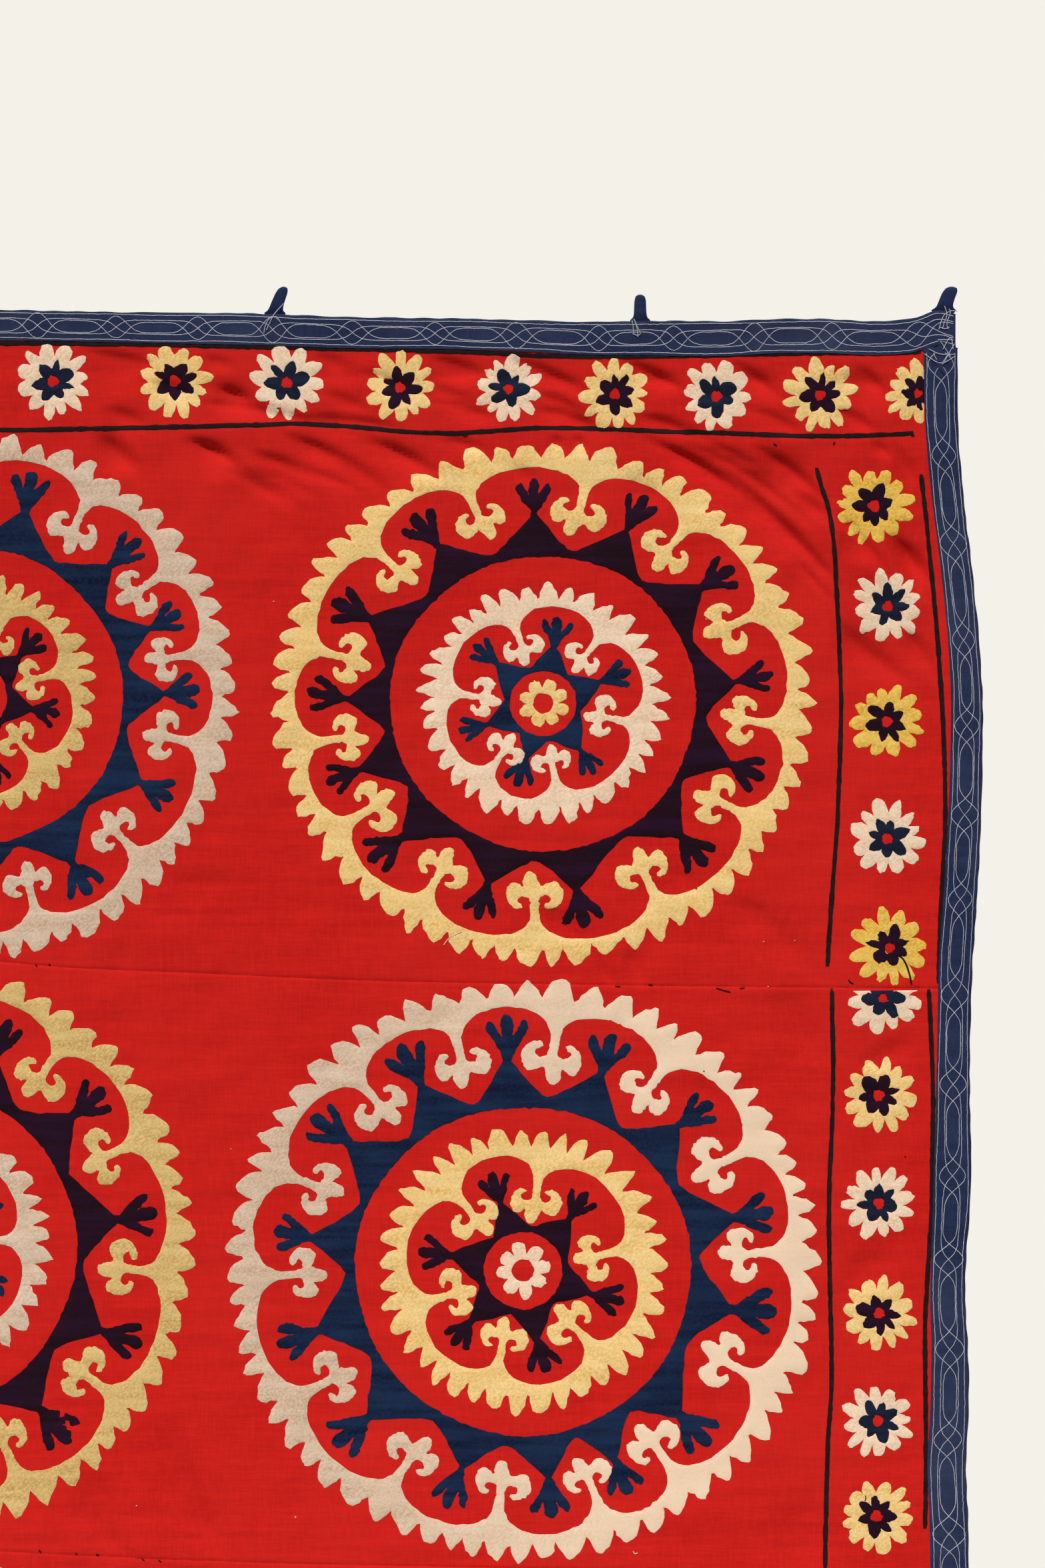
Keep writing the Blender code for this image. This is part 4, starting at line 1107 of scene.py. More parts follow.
def makeRosette(rosette):
    store = newStore()
    for looks, share, light, dark, teeth, fleurs, paws in (
        (outerRing, 1.0, "light", "dark", "teeth", "fleurs", "paws"),
        (innerRing, rosette["innerShare"], "innerLight", "innerDark", "innerTeeth", "innerFleurs",
         "innerPaws"),
    ):
        ring = dict(looks, fleurs=rosette[fleurs], paws=rosette[paws])
        ring["firstFleur"] = firstFleur(ring["fleurs"], ring["paws"])
        spacing = ringSewing["step"] / (share * rosette["reach"][0])
        loops = [teethLoop(rosette[teeth], ring["toothHeight"], ring["lean"]), innerEdge(ring, spacing)]
        sewPatch(store, [setOut(loop, rosette, share) for loop in loops], rosette[light])
        loops = [darkEdge(ring, spacing * ringSewing["darkStep"]),
                 circleLoop(ring["darkInner"], spacing * ringSewing["innerStep"])]
        sewPatch(store, [setOut(loop, rosette, share) for loop in loops], rosette[dark])
    petals = [petalLoop(*ringSewing["core"]), circleLoop(ringSewing["hole"], ringSewing["holeStep"])]
    sewPatch(store, [setOut(loop, rosette) for loop in petals], rosette["core"],
             lattice=ringSewing["coreLattice"])
    return sewnPiece(rosette["name"], store)


rosettePieces = {rosette["name"]: makeRosette(rosette) for rosette in rosettes}
print("rosettes sewn")


# border flowers: x and z in tenths of a millimetre, size, petals and star points if not 12 and 7
def flowerRow(colours, *places):  # the petals change colour from one flower to the next
    row = []
    for index, (x, z, size, *counts) in enumerate(places):
        petals, points = counts or (12, 7)
        row.append((x / 10000, z / 10000, size, petals, points, colours[index % 2]))
    return row


creamFirst, cornFirst, amberFirst = ("cream", "corn"), ("corn", "cream"), ("amber", "cream")
flowerPlaces = dict(
    flowers_top=flowerRow(
        creamFirst,
        (-7050, -850, 1.00), (-5950, -860, 0.98, 12, 6), (-4750, -840, 1.02), (-3500, -850, 1.00),
        (-2248, -745, 1.02), (-920, -740, 1.02), (307, -760, 1.00, 11, 6), (1548, -810, 0.98),
        (2738, -830, 0.90, 12, 6), (3906, -885, 0.97), (5015, -910, 0.98, 11, 6), (6147, -895, 0.98),
    ),
    flowers_right_top=flowerRow(
        amberFirst,
        (6738, -2110, 1.06, 13, 7), (6891, -3205, 1.00), (6884, -4468, 1.00), (6884, -5752, 1.02),
    ),
    flowers_right_middle=flowerRow(
        cornFirst,
        (6796, -8563, 1.02), (6796, -9746, 0.98), (6796, -10950, 1.02), (6782, -12125, 1.00),
        (6767, -13170, 1.02),
    ),
    flowers_right_bottom=flowerRow(
        creamFirst,
        (6767, -14340, 1.00), (6760, -15520, 1.02), (6750, -16680, 1.00), (6740, -17850, 1.02),
        (6720, -18960, 1.00),
    ),
    flowers_left_top=flowerRow(
        amberFirst,
        (-6850, -2130, 1.02), (-6930, -3280, 1.00), (-6950, -4500, 1.00), (-6930, -5720, 1.02),
    ),
    flowers_left_middle=flowerRow(
        cornFirst,
        (-6950, -8180, 0.96), (-6980, -9300, 0.92), (-6980, -10400, 0.92), (-6960, -11520, 0.94),
        (-6930, -12700, 1.00),
    ),
    flowers_left_bottom=flowerRow(
        creamFirst,
        (-6850, -14500, 1.02), (-6820, -15720, 1.00), (-6800, -16900, 1.02), (-6790, -18080, 1.00),
        (-6780, -19200, 0.98),
    ),
    flowers_bottom=flowerRow(
        cornFirst,
        (-6650, -20020, 0.94), (-5450, -20040, 1.00), (-4200, -20010, 1.00), (-2950, -20050, 1.02),
        (-1700, -20090, 1.00), (-450, -20110, 1.00), (800, -20110, 1.02), (2050, -20080, 1.00),
        (3280, -20110, 1.00), (4500, -20130, 1.00), (5700, -20120, 0.98), (6800, -20080, 0.92),
    ),
)
flower = dict(
    petal=(0.0408, 0.0270, 1.95, 0.085), star=(0.0236, 0.0130, 1.25, 0.12), dot=0.0060,
    dotStep=0.0032, dotWobble=0.10, lattice=0.006, starLattice=0.005, starGrow=1.02, cutDot=0.94,
    raised=0.0007,
)
flowersCut = dict(  # cut by a seam or the binding: x, z, size, petals, points, colour, limits
    flower_seam_right_upper=(0.6913, -0.6942, 1.04, 12, 7, "amber", (-1, 1, -0.7385, 0)),
    flower_seam_right_lower=(0.6840, -0.7497, 1.00, 12, 7, "cream", (-1, 1, -1, -0.7415)),
    flower_seam_left_upper=(-0.6900, -0.6850, 1.00, 12, 7, "amber", (-1, 1, -0.7055, 0)),
    flower_seam_left_lower=(-0.6900, -0.7180, 0.96, 12, 7, "cream", (-1, 1, -1, -0.7105)),
    flower_corner=(0.7222, -0.0876, 0.89, 12, 7, "corn", (-1, 0.7292, -1, 0)),
    flower_seam_right_foot=(0.6770, -1.3900, 0.50, 10, 6, "cream", (-1, 1, -1.5, -1.3830)),
)


def clipLoop(loop, axis, limit, keepAbove):  # cut a loop along one line
    sign = 1.0 if keepAbove else -1.0
    out = []
    for index, place in enumerate(loop):
        follow = loop[(index + 1) % len(loop)]
        here, there = sign * (place[axis] - limit), sign * (follow[axis] - limit)
        if here >= 0:
            out.append(place)
        if (here >= 0) != (there >= 0):
            out.append(place + (follow - place) * here / (here - there))
    return np.array(out)


def trimLoop(loop, limits):
    if limits is None:
        return loop
    low, high, bottom, top = limits
    for axis, limit, above in ((0, low, True), (0, high, False), (1, bottom, True), (1, top, False)):
        loop = clipLoop(loop, axis, limit, above)
    return loop


def sewFlower(store, place, limits=None):
    x, z, size, petals, points, colour = place
    middle = np.array((x, z))
    loops = []
    for count, outline in ((petals, flower["petal"]), (points, flower["star"])):
        radius, valley, fullness, uneven = outline
        loops.append(petalLoop(count, radius * size, valley * size, fullness, uneven))
    loops.append(circleLoop(flower["dot"] * size, flower["dotStep"], flower["dotWobble"]))
    petals, star, dot = (trimLoop(loop + (x, z), limits) for loop in loops)
    starColour = "navy" if colour == "cream" else "plum"
    if limits is None:
        sewPatch(store, [petals, star], colour, lattice=flower["lattice"])
        sewPatch(store, [(star - middle) * flower["starGrow"] + middle, dot], starColour,
                 lattice=flower["starLattice"])
    else:  # a cut star lies on the petals, which run on beneath it
        sewPatch(store, [petals, dot], colour, lattice=flower["lattice"])
        sewPatch(store, [star, (dot - middle) * flower["cutDot"] + middle], starColour,
                 raised=flower["raised"], lattice=flower["starLattice"])


def makeFlowers(name, places, limits=None):
    store = newStore()
    for place in places:
        sewFlower(store, place, limits)
    return sewnPiece(name, store)


flowerPieces = {name: makeFlowers(name, places) for name, places in flowerPlaces.items()}
for name, (*place, limits) in flowersCut.items():
    flowerPieces[name] = makeFlowers(name, [place], limits)
print("border flowers sewn")


# black lines of chain stitch that frame the field and the border
blackLines = dict(
    lines_top=[
        inTenths([  # under the binding
            (-7270, -390), (-6000, -440), (-4500, -390), (-2830, -330), (-600, -360), (1980, -420),
            (3690, -480), (5750, -440), (7256, -420),
        ]),
        inTenths([  # top of the field
            (-7000, -1310), (-6000, -1280), (-4500, -1320), (-2830, -1280), (-260, -1230),
            (600, -1210), (1980, -1310), (3180, -1250), (4470, -1290), (5750, -1340), (6400, -1345),
            (7000, -1320), (7165, -1310), (7175, -1350),
        ]),
        inTenths([  # inner, right
            (6110, -1690), (6170, -1900), (6249, -2150), (6310, -2600), (6336, -3100), (6380, -4290),
            (6336, -5580), (6285, -6270), (6227, -7150),
        ]),
        inTenths([  # outer, right
            (7256, -1760), (7343, -2580), (7424, -3440), (7497, -4560), (7519, -5580), (7468, -6610),
            (7446, -7340),
        ]),
        inTenths([  # inner, left
            (-6160, -1650), (-6280, -2300), (-6360, -3300), (-6400, -4500), (-6370, -5800),
            (-6340, -6990),
        ]),
        inTenths([  # outer, left
            (-7260, -1400), (-7350, -2600), (-7480, -4000), (-7490, -5600), (-7430, -7000),
        ]),
    ],
    lines_middle=[
        inTenths([  # inner, right
            (6278, -7390), (6285, -8580), (6241, -9880), (6270, -11590), (6227, -12450),
            (6198, -13740),
        ]),
        inTenths([  # outer, right
            (7344, -7402), (7388, -8580), (7366, -9880), (7300, -11170), (7315, -12450),
            (7300, -13310),
        ]),
        inTenths([  # inner, left
            (-6430, -7140), (-6480, -8200), (-6500, -9500), (-6500, -10800), (-6480, -12200),
            (-6380, -13430),
        ]),
        inTenths([  # outer, left
            (-7420, -7140), (-7390, -8500), (-7350, -10000), (-7330, -11500), (-7350, -13440),
        ]),
    ],
    lines_bottom=[
        inTenths([  # inner, right
            (6200, -13800), (6240, -15200), (6190, -16800), (6230, -18200), (6200, -19530),
        ]),
        inTenths([  # outer, right
            (7300, -13810), (7280, -15000), (7310, -16500), (7330, -18000), (7290, -19500),
            (7260, -20350),
        ]),
        inTenths([  # inner, left
            (-6320, -13560), (-6280, -15000), (-6300, -16800), (-6260, -18300), (-6240, -19500),
        ]),
        inTenths([  # outer, left
            (-7350, -13570), (-7320, -15000), (-7290, -17000), (-7310, -18800), (-7270, -20280),
        ]),
        inTenths([  # foot of the field
            (-7000, -19540), (-5600, -19570), (-3500, -19540), (-1000, -19620), (1000, -19630),
            (3500, -19610), (5500, -19660), (7100, -19620),
        ]),
        inTenths([  # over the binding
            (-7250, -20330), (-5500, -20410), (-3500, -20370), (-1000, -20460), (1000, -20460),
            (3500, -20440), (5500, -20480), (7250, -20420),
        ]),
    ],
)
lineLook = dict(width=0.0051, step=0.0055, uneven=0.000225, wander=0.0005, wanderRate=0.25, tip=0.6)
lineSewing = dict(crown=0.0010, lattice=0.012, ragged=0.00012)


def lineLoop(path):  # a narrow band round a path, rounded at its ends
    middle = softCurve(path, lineLook["step"])
    along = np.gradient(middle, axis=0)
    along /= np.linalg.norm(along, axis=1)[:, None]
    side = np.column_stack([-along[:, 1], along[:, 0]])
    drift = np.cumsum(draw.normal(0, 1, len(middle)))
    drift = np.sin(drift * lineLook["wanderRate"]) * lineLook["wander"]
    half = lineLook["width"] / 2 + draw.normal(0, lineLook["uneven"], len(middle))
    half[[0, -1]] *= lineLook["tip"]
    middle = middle + side * drift[:, None]
    return np.concatenate([middle + side * half[:, None], (middle - side * half[:, None])[::-1]])


def makeLines(name, paths):
    store = newStore()
    for path in paths:
        sewPatch(store, [lineLoop(path)], "ink", **lineSewing)
    return sewnPiece(name, store)


linePieces = {name: makeLines(name, paths) for name, paths in blackLines.items()}
print("black lines sewn")


# blue binding: a strip folded over each outer edge
binding = dict(
    thickness=0.0009, innerLift=0.00120, foldLift=0.00185, pucker=0.00022, scallop=0.0011, step=0.0060,
    butt=0.0003, leafShares=(1.0, 0.78, 0.55, 0.32, 0.14), foldAngles=(75, 50, 25, 0, -25, -50, -75),
    foldInset=0.0005, foldSlack=0.00010,
)
bindings = dict(
    binding_top=dict(edge=topEdge, leaf=topLeaf, level=True, inward=-1),
    binding_bottom=dict(edge=bottomEdge, leaf=bottomLeaf, level=True, inward=1),
    binding_right=dict(edge=rightEdge, leaf=rightLeaf, level=False, inward=-1),
    binding_left=dict(edge=leftEdge, leaf=leftLeaf, level=False, inward=1),
)


def sideLimits(x):  # the side bindings butt under the top one and over the bottom one
    top = curveValue(topEdge, x) - curveValue(topLeaf, x)
    bottom = curveValue(bottomEdge, x) + curveValue(bottomLeaf, x)
    return bottom + binding["butt"], top - binding["butt"]


def bindingPlace(which, station, inset):  # x and z at a distance in from the outer edge
    strip = bindings[which]
    if strip["level"]:
        return station, curveValue(strip["edge"], station) + strip["inward"] * inset
    x = curveValue(strip["edge"], station) + strip["inward"] * inset
    z = np.clip(station, *sideLimits(x))
    return curveValue(strip["edge"], z) + strip["inward"] * inset, z


def leafLift(share):  # the leaf rises from its inner edge to the fold
    return binding["innerLift"] + (binding["foldLift"] - binding["innerLift"]) * share


def leafProfile(width):  # share across, distance in from the edge, y in front of the cotton's middle
    inward = [width * share for share in binding["leafShares"]]
    lift = [leafLift(1 - share) for share in binding["leafShares"]]
    behind = [-level for level in lift[::-1]]
    radius = binding["foldLift"] - binding["foldSlack"]
    fold = []
    for angle in np.radians(binding["foldAngles"]):
        fold.append(np.full_like(width, binding["foldInset"] + radius * (1 - math.cos(angle))))
        lift.append(radius * math.sin(angle))
    return np.array(inward + fold + inward[::-1]), np.array(lift + behind)


def scallops(stations):  # the fold steps in and out a little along the edge
    slow = np.sin(stations * 118.0 + 0.6) * np.sin(stations * 41.0 + 2.0)
    quick = np.sin(stations * 173.0 + 1.9 * np.sin(stations * 29.0))
    return binding["scallop"] * np.clip(0.42 + 0.34 * slow + 0.34 * quick, 0.0, 1.0)


def puckers(which, x, z, lift):  # the stitching draws the strip up a little
    along = x if bindings[which]["level"] else z
    wave = np.sin(along * 392.0) + 0.7 * np.sin(along * 251.0 + 1.3) + 0.5 * np.sin(along * 617.0 + 0.4)
    return binding["pucker"] * wave * np.sign(lift) * np.minimum(1.0, np.abs(lift) / 0.001)


def makeBinding(name):
    strip = bindings[name]
    if strip["level"]:
        low = float(curveValue(leftEdge, strip["edge"][0][1]))
        high = float(curveValue(rightEdge, strip["edge"][-1][1]))
    else:
        low, high = strip["edge"][0][0], strip["edge"][-1][0]
    columns = int((high - low) / binding["step"])
    stations = np.linspace(low, high, columns + 1)
    width = curveValue(strip["leaf"], stations)
    inward, lift = leafProfile(width)
    inward = inward + scallops(stations) * np.clip(1 - inward / (width * 0.4), 0.0, 1.0)
    rows = len(lift) - 1

    def place(column, row):
        x, z = bindingPlace(name, stations[column], inward[row, column])
        height = lift[row] + puckers(name, x, z, lift[row])
        return x, hangDepth(x, z) - height, z

    piece = newGrid(name + "_strip", columns, rows)
    moveGrid(piece, columns, rows, place)
    if strip["level"] != (strip["inward"] > 0):
        onlyThis(piece)
        bpy.ops.object.mode_set(mode="EDIT")
        bpy.ops.mesh.select_all(action="SELECT")
        bpy.ops.mesh.flip_normals()
        bpy.ops.object.mode_set(mode="OBJECT")
    thicken(piece, binding["thickness"])
    applyAll(piece)
    piece.data.materials.append(bindingMaterial)
    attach(piece, "root")
    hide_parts(name)
    return piece


bindingPieces = {name: makeBinding(name) for name in bindings}
print("bindings made")


# the ornamental stitching on the binding: a line near each side and waves between them
quilting = dict(
    radius=0.00037, step=0.0036, levelReach=0.762, levelStart=-0.2446, levelPeriod=0.0876,
    sideTop=-0.040, sideFoot=0.045, sideStart=-0.0590, sidePeriod=0.098, lowest=-0.20, peak=0.60,
    cross=0.25, crossSharp=3.0, swell=0.10, innerRow=0.08, outerRow=0.93, shake=0.004,
    inset=0.0014, margins=0.0020, proud=0.45,
)


def newTubes(name, paths, radius, material):
    curve = bpy.data.curves.new(name, "CURVE")
    curve.dimensions = "3D"
    curve.bevel_depth = radius
    curve.bevel_resolution = 0
    curve.use_fill_caps = True
    for path in paths:
        spline = curve.splines.new("POLY")
        spline.points.add(len(path) - 1)
        flat = np.column_stack([path, np.ones(len(path))]).ravel()
        spline.points.foreach_set("co", flat)
    piece = bpy.data.objects.new(name, curve)
    bpy.context.scene.collection.objects.link(piece)
    onlyThis(piece)
    bpy.ops.object.convert(target="MESH")
    piece = bpy.context.object
    piece.name = name
    piece.data.materials.clear()
    piece.data.materials.append(material)
    bpy.ops.object.shade_smooth()
    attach(piece, "root")
    return piece


def waveRows(stations, start, period):  # four threads that part in long lenses and cross between them
    drift = 0.035 * np.sin(stations * 13.0 + 0.4) + 0.02 * np.sin(stations * 31.0)
    turn = (stations - start) / period + drift
    peak = quilting["lowest"] + quilting["peak"] * ((1 + np.cos(2 * math.pi * turn)) / 2) ** 3
    cross = quilting["cross"] * np.tanh(quilting["crossSharp"] * np.sin(math.pi * turn))
    swell = 1 + quilting["swell"] * np.sin(stations * 23.0 + 1.0)
    return [0.5 + peak * swell, 0.5 - peak * swell, 0.5 + cross, 0.5 - cross * swell]


def bindingThreads(name, side):  # side is 1 in front and -1 behind
    strip = bindings[name]
    look = quilting
    if strip["level"]:
        low, high = -look["levelReach"], look["levelReach"]
        start, period = look["levelStart"], look["levelPeriod"]
    else:
        low, high = strip["edge"][0][0] + look["sideFoot"], look["sideTop"]
        start, period = look["sideStart"], look["sidePeriod"]
    stations = np.arange(low, high, look["step"])
    width = curveValue(strip["leaf"], stations)
    slow = np.sin(stations * 9.0) * 0.02
    rows = [
        look["innerRow"] + slow * 0.6 + 0.014 * np.sin(stations * 47.0),
        *waveRows(stations, start, period),
        look["outerRow"] - slow * 0.5 + 0.012 * np.sin(stations * 53.0 + 1.0),
    ]
    paths = []
    for share in rows:
        share = share + draw.normal(0, look["shake"], len(share))
        inset = look["inset"] + share * (width - look["margins"])
        x, z = bindingPlace(name, stations, inset)
        across = 1 - inset / width
        lift = (leafLift(across) + binding["thickness"] / 2 + look["radius"] * look["proud"]) * side
        y = hangDepth(x, z) - lift - puckers(name, x, z, lift)
        paths.append(np.column_stack([x, y, z]))
    return paths


bindingThreadPieces = {}
for name in bindings:
    paths = bindingThreads(name, 1) + bindingThreads(name, -1)
    bindingThreadPieces[name] = newTubes(
        name + "_stitching", paths, quilting["radius"], threads["ash"],
    )
print("binding stitched")


# loops of folded tape along the top edge
loops = dict(
    loop_1=dict(x=-0.751, height=0.026, lean=-0.0070, foot=0.0150, crown=0.0120),
    loop_2=dict(x=-0.416, height=0.029, lean=-0.0020, foot=0.0130, crown=0.0110),
    loop_3=dict(x=0.0175, height=0.030, lean=0.0100, foot=0.0150, crown=0.0115),
    loop_4=dict(x=0.4180, height=0.029, lean=0.0000, foot=0.0140, crown=0.0120),
    loop_5=dict(x=0.7510, height=0.0265, lean=0.0090, foot=0.0165, crown=0.0155),
)
tape = dict(thickness=0.0014, leg=0.014, opening=0.006, bulge=0.013, middle=0.00445, columns=6,
            roundFrom=0.74, roundReach=0.30, roundMost=0.88, flare=0.85, flareReach=0.0024,
            slack=0.0004, leanCurve=1.3, cup=0.0009, sag=0.0012, edge=0.0004)


def loopPath(height):  # y and height over the edge along the folded tape
    closed = (tape["thickness"] + tape["slack"]) / 2
    opened = (tape["thickness"] + tape["opening"]) / 2
    start = -tape["thickness"]
    crown = height - tape["thickness"] / 2 - opened
    half = [(closed, -tape["leg"]), (closed, -tape["leg"] * 0.6), (closed, -tape["leg"] * 0.3)]
    for level in np.linspace(start, crown, 12):
        rise = min(1.0, (level - start) / tape["bulge"])
        half.append((closed + (opened - closed) * math.sin(math.pi / 2 * rise), level))
    arc = [(opened * math.cos(angle), crown + opened * math.sin(angle))
           for angle in np.linspace(0, math.pi, 14)[1:-1]]
    back = [(tape["middle"] + across, level) for across, level in half]
    over = [(tape["middle"] + across, level) for across, level in arc]
    front = [(tape["middle"] - across, level) for across, level in reversed(half)]
    return np.array(back + over + front)


def makeLoop(name):
    look = loops[name]
    path = loopPath(look["height"])
    rows, columns = len(path) - 1, tape["columns"]
    edge = float(curveValue(topEdge, look["x"]))

    def place(column, row):
        y, level = path[row, 0], path[row, 1]
        rise = np.clip(level / look["height"], 0.0, 1.0)
        width = look["foot"] + (look["crown"] - look["foot"]) * rise
        near = np.clip((rise - tape["roundFrom"]) / tape["roundReach"], 0.0, tape["roundMost"])
        width = width * np.sqrt(1 - near ** 2)
        width = width * (1 + tape["flare"] * np.exp(-abs(level) / tape["flareReach"]))
        share = column / columns - 0.5
        x = look["x"] + look["lean"] * rise ** tape["leanCurve"] + share * width
        cup = tape["cup"] * (share * 2) ** 2 * np.sign(y - tape["middle"]) * rise
        z = edge + level - tape["sag"] * (share * 2) ** 2 * rise
        return x, hangDepth(x, np.minimum(z, edge)) + y - cup, z

    piece = newGrid(name + "_tape", columns, rows)
    moveGrid(piece, columns, rows, place)
    thicken(piece, tape["thickness"])
    bevel = piece.modifiers.new("edges", "BEVEL")
    bevel.width = tape["edge"]
    bevel.segments = 2
    bevel.limit_method = "ANGLE"
    applyAll(piece)
    piece.data.materials.append(tapeMaterial)
    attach(piece, "root")
    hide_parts(name)
    return piece


loopPieces = {name: makeLoop(name) for name in loops}
print("loops made")


# tacking threads: steps from the foot of each loop, and the crossed stitches of the corners
tackThreads = dict(  # in tenths of a millimetre
    loop_3=[
        [(-117, -219), (-95, -128), (-51, -55), (22, -37), (58, -88)],
        [(-88, -183), (-44, -88), (4, 0), (66, 73), (99, 110)],
    ],
    loop_4=[
        [(-92, 7), (-77, -91), (-70, -153)], [(-70, 18), (-34, -91), (-26, -183)],
        [(-63, 0), (-30, -80), (3, -146), (-30, -165), (-85, -146)],
    ],
    loop_5=[
        [(-60, -212), (-31, -120), (5, -47), (78, -7), (147, -11)],
        [(-20, -204), (5, -120), (30, -47), (5, 44)], [(42, -212), (30, -139), (67, -29), (53, 15)],
        [(-50, -190), (10, -205), (58, -190)],
    ],
)
for mirrored, shown in (("loop_1", "loop_5"), ("loop_2", "loop_4")):
    tackThreads[mirrored] = [[(-x, z) for x, z in path] for path in tackThreads[shown]]
cornerStitches = [
    [(7290, -449), (7468, -548), (7626, -475)], [(7340, -394), (7468, -449), (7626, -449)],
    [(7468, -307), (7577, -475)], [(7620, -336), (7494, -562)], [(7439, -292), (7610, -292)],
    [(7494, -394), (7577, -266), (7610, -394)],
]
tackLook = dict(
    radius=0.00042, overStrip=0.0030, overLoop=0.0014, wander=0.00012, step=0.0022, passage=0.004,
)


def tackPath(path):  # over the strip, and nearer the cloth where it passes on to the loop
    path = softCurve(path, tackLook["step"])
    path = path + draw.normal(0.0, tackLook["wander"], path.shape)
    over = smoothStep((path[:, 1] - curveValue(topEdge, path[:, 0])) / tackLook["passage"])
    lift = tackLook["overStrip"] + (tackLook["overLoop"] - tackLook["overStrip"]) * over
    y = hangDepth(path[:, 0], np.minimum(path[:, 1], -tackLook["passage"])) - lift
    return np.column_stack([path[:, 0], y, path[:, 1]])


def makeTacks():
    paths = []
    for name, look in loops.items():
        foot = np.array([look["x"], float(curveValue(topEdge, look["x"]))])
        paths += [tackPath(np.array(inTenths(path)) + foot) for path in tackThreads[name]]
    for side in (1, -1):
        paths += [tackPath(np.array(inTenths(path)) * (side, 1)) for path in cornerStitches]
    return newTubes("tacking_threads", paths, tackLook["radius"], threads["ash"])


tackPiece = makeTacks()

# knots, loose ends and lint that lie on the cotton
strays = dict(  # radius, and paths in tenths of a millimetre
    ink=(0.0009, [
        [(-2400, -13533), (-2380, -13560)], [(-2003, -13570), (-1985, -13576)],
        [(-1780, -13588), (-1745, -13590)], [(-1275, -13638), (-1250, -13652)],
        [(-1095, -13650), (-1065, -13668)], [(5010, -7385), (5095, -7412), (5165, -7430)],
        [(5270, -7390), (5320, -7384)], [(3905, -7366), (3960, -7372)], [(4270, -7345), (4310, -7352)],
        [(-2440, -7130), (-2425, -7150)], [(-2300, -7130), (-2275, -7130)],
        [(6460, -7295), (6480, -7325), (6515, -7335)], [(7080, -9228), (7084, -9240)],
        [(6644, -12940), (6650, -12975), (6640, -13000)], [(5640, -1430), (5672, -1448)],
        [(6295, -1440), (6310, -1410)], [(4870, -8290), (4880, -8300)],
        [(2230, -1320), (2250, -1340), (2290, -1335)],
    ]),
    milk=(0.0008, [
        [(5526, -6877), (5534, -6884)], [(5869, -6866), (5876, -6870)], [(5572, -7368), (5584, -7372)],
        [(160, -3150), (170, -3160)], [(-307, -9147), (-300, -9154)],
        [(398, -13170), (408, -13182), (400, -13192)], [(4898, -3340), (4902, -3356)],
        [(-1340, -13050), (-1330, -13056)],
        [(2030, -6915), (2080, -6850), (2160, -6800), (2235, -6772)],
        [(4100, -13540), (4118, -13570), (4150, -13560)],
        [(-2620, -6930), (-2600, -6955), (-2630, -6985)],
    ]),
    plum=(0.0013, [
        [(7005, -7030), (7060, -7072), (7105, -7160), (7135, -7260), (7150, -7340)],
    ]),
)


strayLook = dict(step=0.0012, proud=0.5, clear=0.0001, thin=0.8)


def makeStrays(colour):
    radius, paths = strays[colour]
    placed = []
    for path in paths:
        path = softCurve(inTenths(path), strayLook["step"])
        lift = cloth["thickness"] / 2 + radius * strayLook["proud"] + strayLook["clear"]
        y = onCloth(path[:, 0], path[:, 1], lift)
        placed.append(np.column_stack([path[:, 0], y, path[:, 1]]))
    return newTubes("strays_" + colour, placed, radius * strayLook["thin"], threads[colour])


strayPieces = {colour: makeStrays(colour) for colour in strays}
print("tacking threads and loose ends laid")


# what is sewn on each strip, and how long each binding and tape is, worked out and then left unused
def declareSheets():
    sewn = dict(rosettePieces, **linePieces, **flowerPieces)
    onTop, onMiddle, onBottom = [strayPieces["plum"]], [strayPieces["ink"], strayPieces["milk"]], []
    for name, piece in sewn.items():
        if "_top" in name or name.endswith(("_upper", "_corner")):
            onTop.append(piece)
        elif "_bottom" in name or name.endswith("_foot"):
            onBottom.append(piece)
        else:
            onMiddle.append(piece)
    for name, length in (("binding_top", 1.56), ("binding_bottom", 1.56),
                         ("binding_right", 2.06), ("binding_left", 2.06)):
        sewn = [bindingThreadPieces[name]] + ([tackPiece] if name == "binding_top" else [])
    for name, look in loops.items():
        length = 2 * (look["height"] + tape["leg"]) + tape["bulge"]


declareSheets()


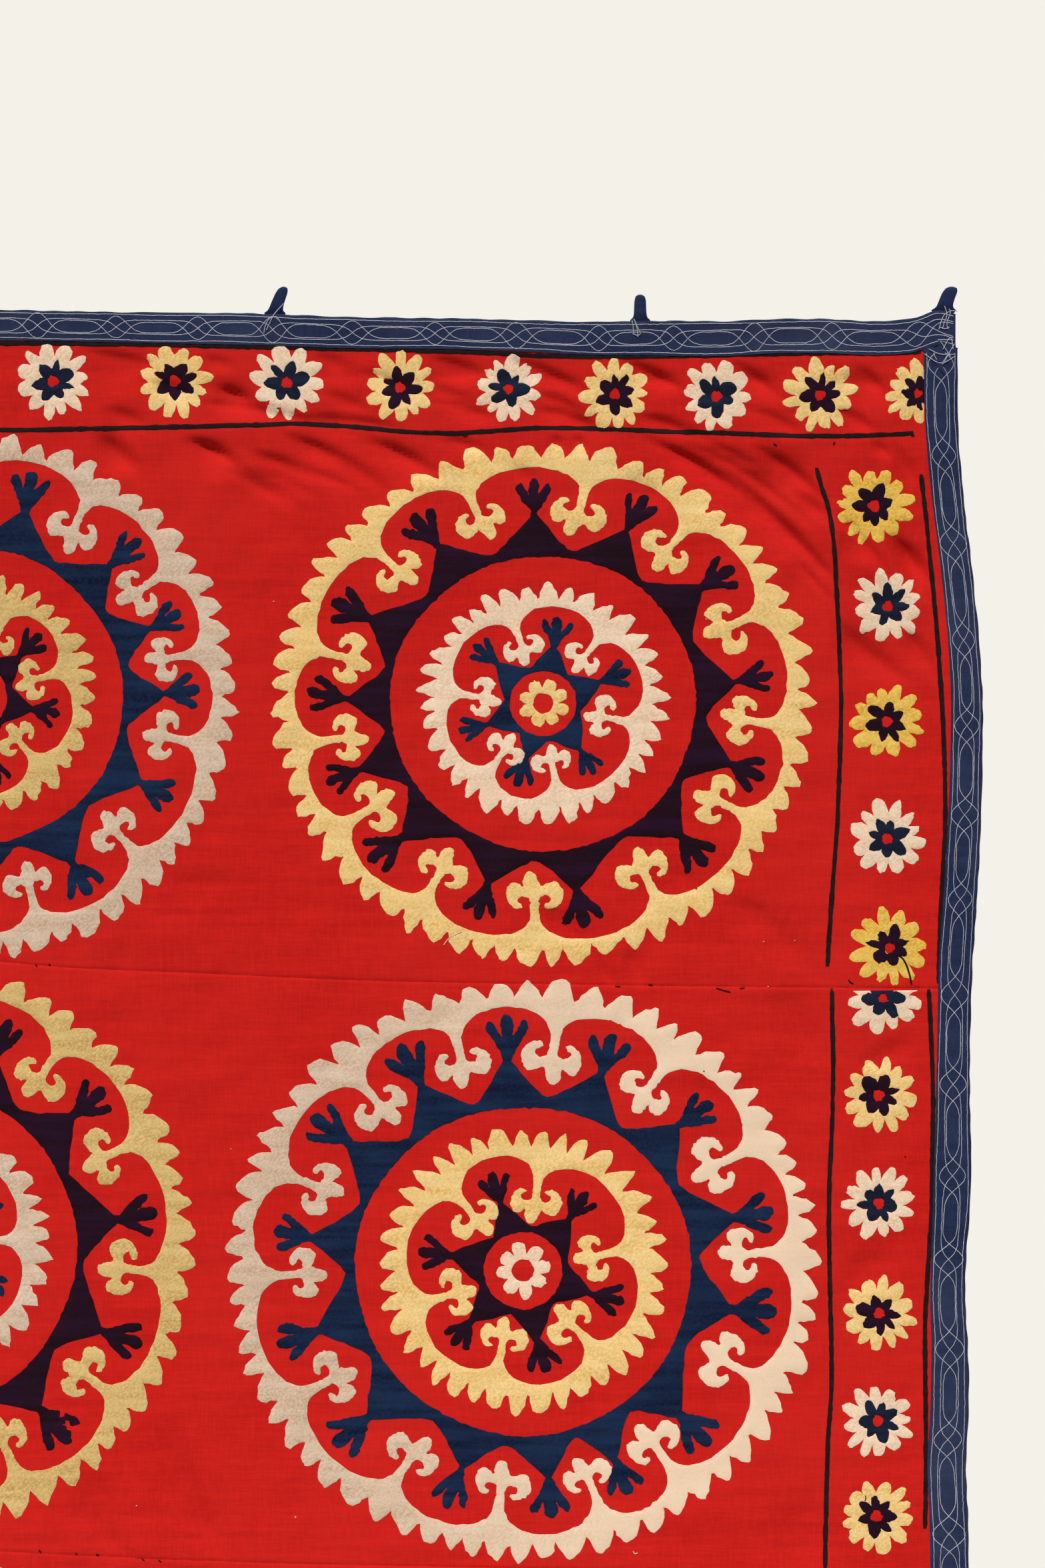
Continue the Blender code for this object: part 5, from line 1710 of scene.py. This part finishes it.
# floor, backdrop, light and camera
def makeFloor():
    bpy.ops.object.select_all(action="DESELECT")
    bpy.ops.mesh.primitive_plane_add(size=view["floorSize"], location=(0, 0, 0))
    floor = bpy.context.object
    floor.name = "floor"
    level = cadBox[0][2] - view["floorDrop"]
    for vertex in floor.data.vertices:
        vertex.co.z = level
    material, tree, shader = newMaterial("paleFloor", 0.9)
    shader.inputs["Base Color"].default_value = tint(*view["floorColour"])
    floor.data.materials.append(material)


def makeStudio():  # a pale backdrop that the camera sees, and a weak fill that lights
    world = bpy.data.worlds.new("studio")
    bpy.context.scene.world = world
    world.use_nodes = True
    tree = world.node_tree
    tree.nodes.clear()
    mix = addNode(tree, "ShaderNodeMixShader")
    tree.links.new(addNode(tree, "ShaderNodeLightPath").outputs["Is Camera Ray"], mix.inputs["Fac"])
    for place, colour, strength in (
        (1, view["fillColour"], view["fillStrength"]), (2, tint(*view["backdrop"]), 1.0),
    ):
        sky = addNode(tree, "ShaderNodeBackground")
        sky.inputs["Color"].default_value = colour
        sky.inputs["Strength"].default_value = strength
        tree.links.new(sky.outputs[0], mix.inputs[place])
    tree.links.new(mix.outputs[0], addNode(tree, "ShaderNodeOutputWorld").inputs["Surface"])


def addSun(name, comesFrom, strength, softness):
    data = bpy.data.lights.new(name, "SUN")
    data.energy = strength
    data.angle = math.radians(softness)
    lamp = bpy.data.objects.new(name, data)
    lamp.location = Vector(comesFrom) * view["sunAway"]
    lamp.rotation_euler = Vector(comesFrom).to_track_quat("Z", "Y").to_euler()
    bpy.context.scene.collection.objects.link(lamp)


makeFloor()
makeStudio()
addSun("keyLight", view["keyFrom"], view["keyStrength"], view["keySoftness"])
addSun("backLight", view["backFrom"], view["backStrength"], view["backSoftness"])
lens = bpy.data.cameras.new("photoCamera")
lens.lens = view["lens"]
lens.sensor_width = view["sensor"]
camera = bpy.data.objects.new("photoCamera", lens)
camera.location = view["place"]
camera.rotation_euler = (math.radians(90), 0.0, 0.0)
bpy.context.scene.collection.objects.link(camera)
bpy.context.scene.camera = camera
bpy.context.scene.view_settings.view_transform = "Standard"
print("stage set")
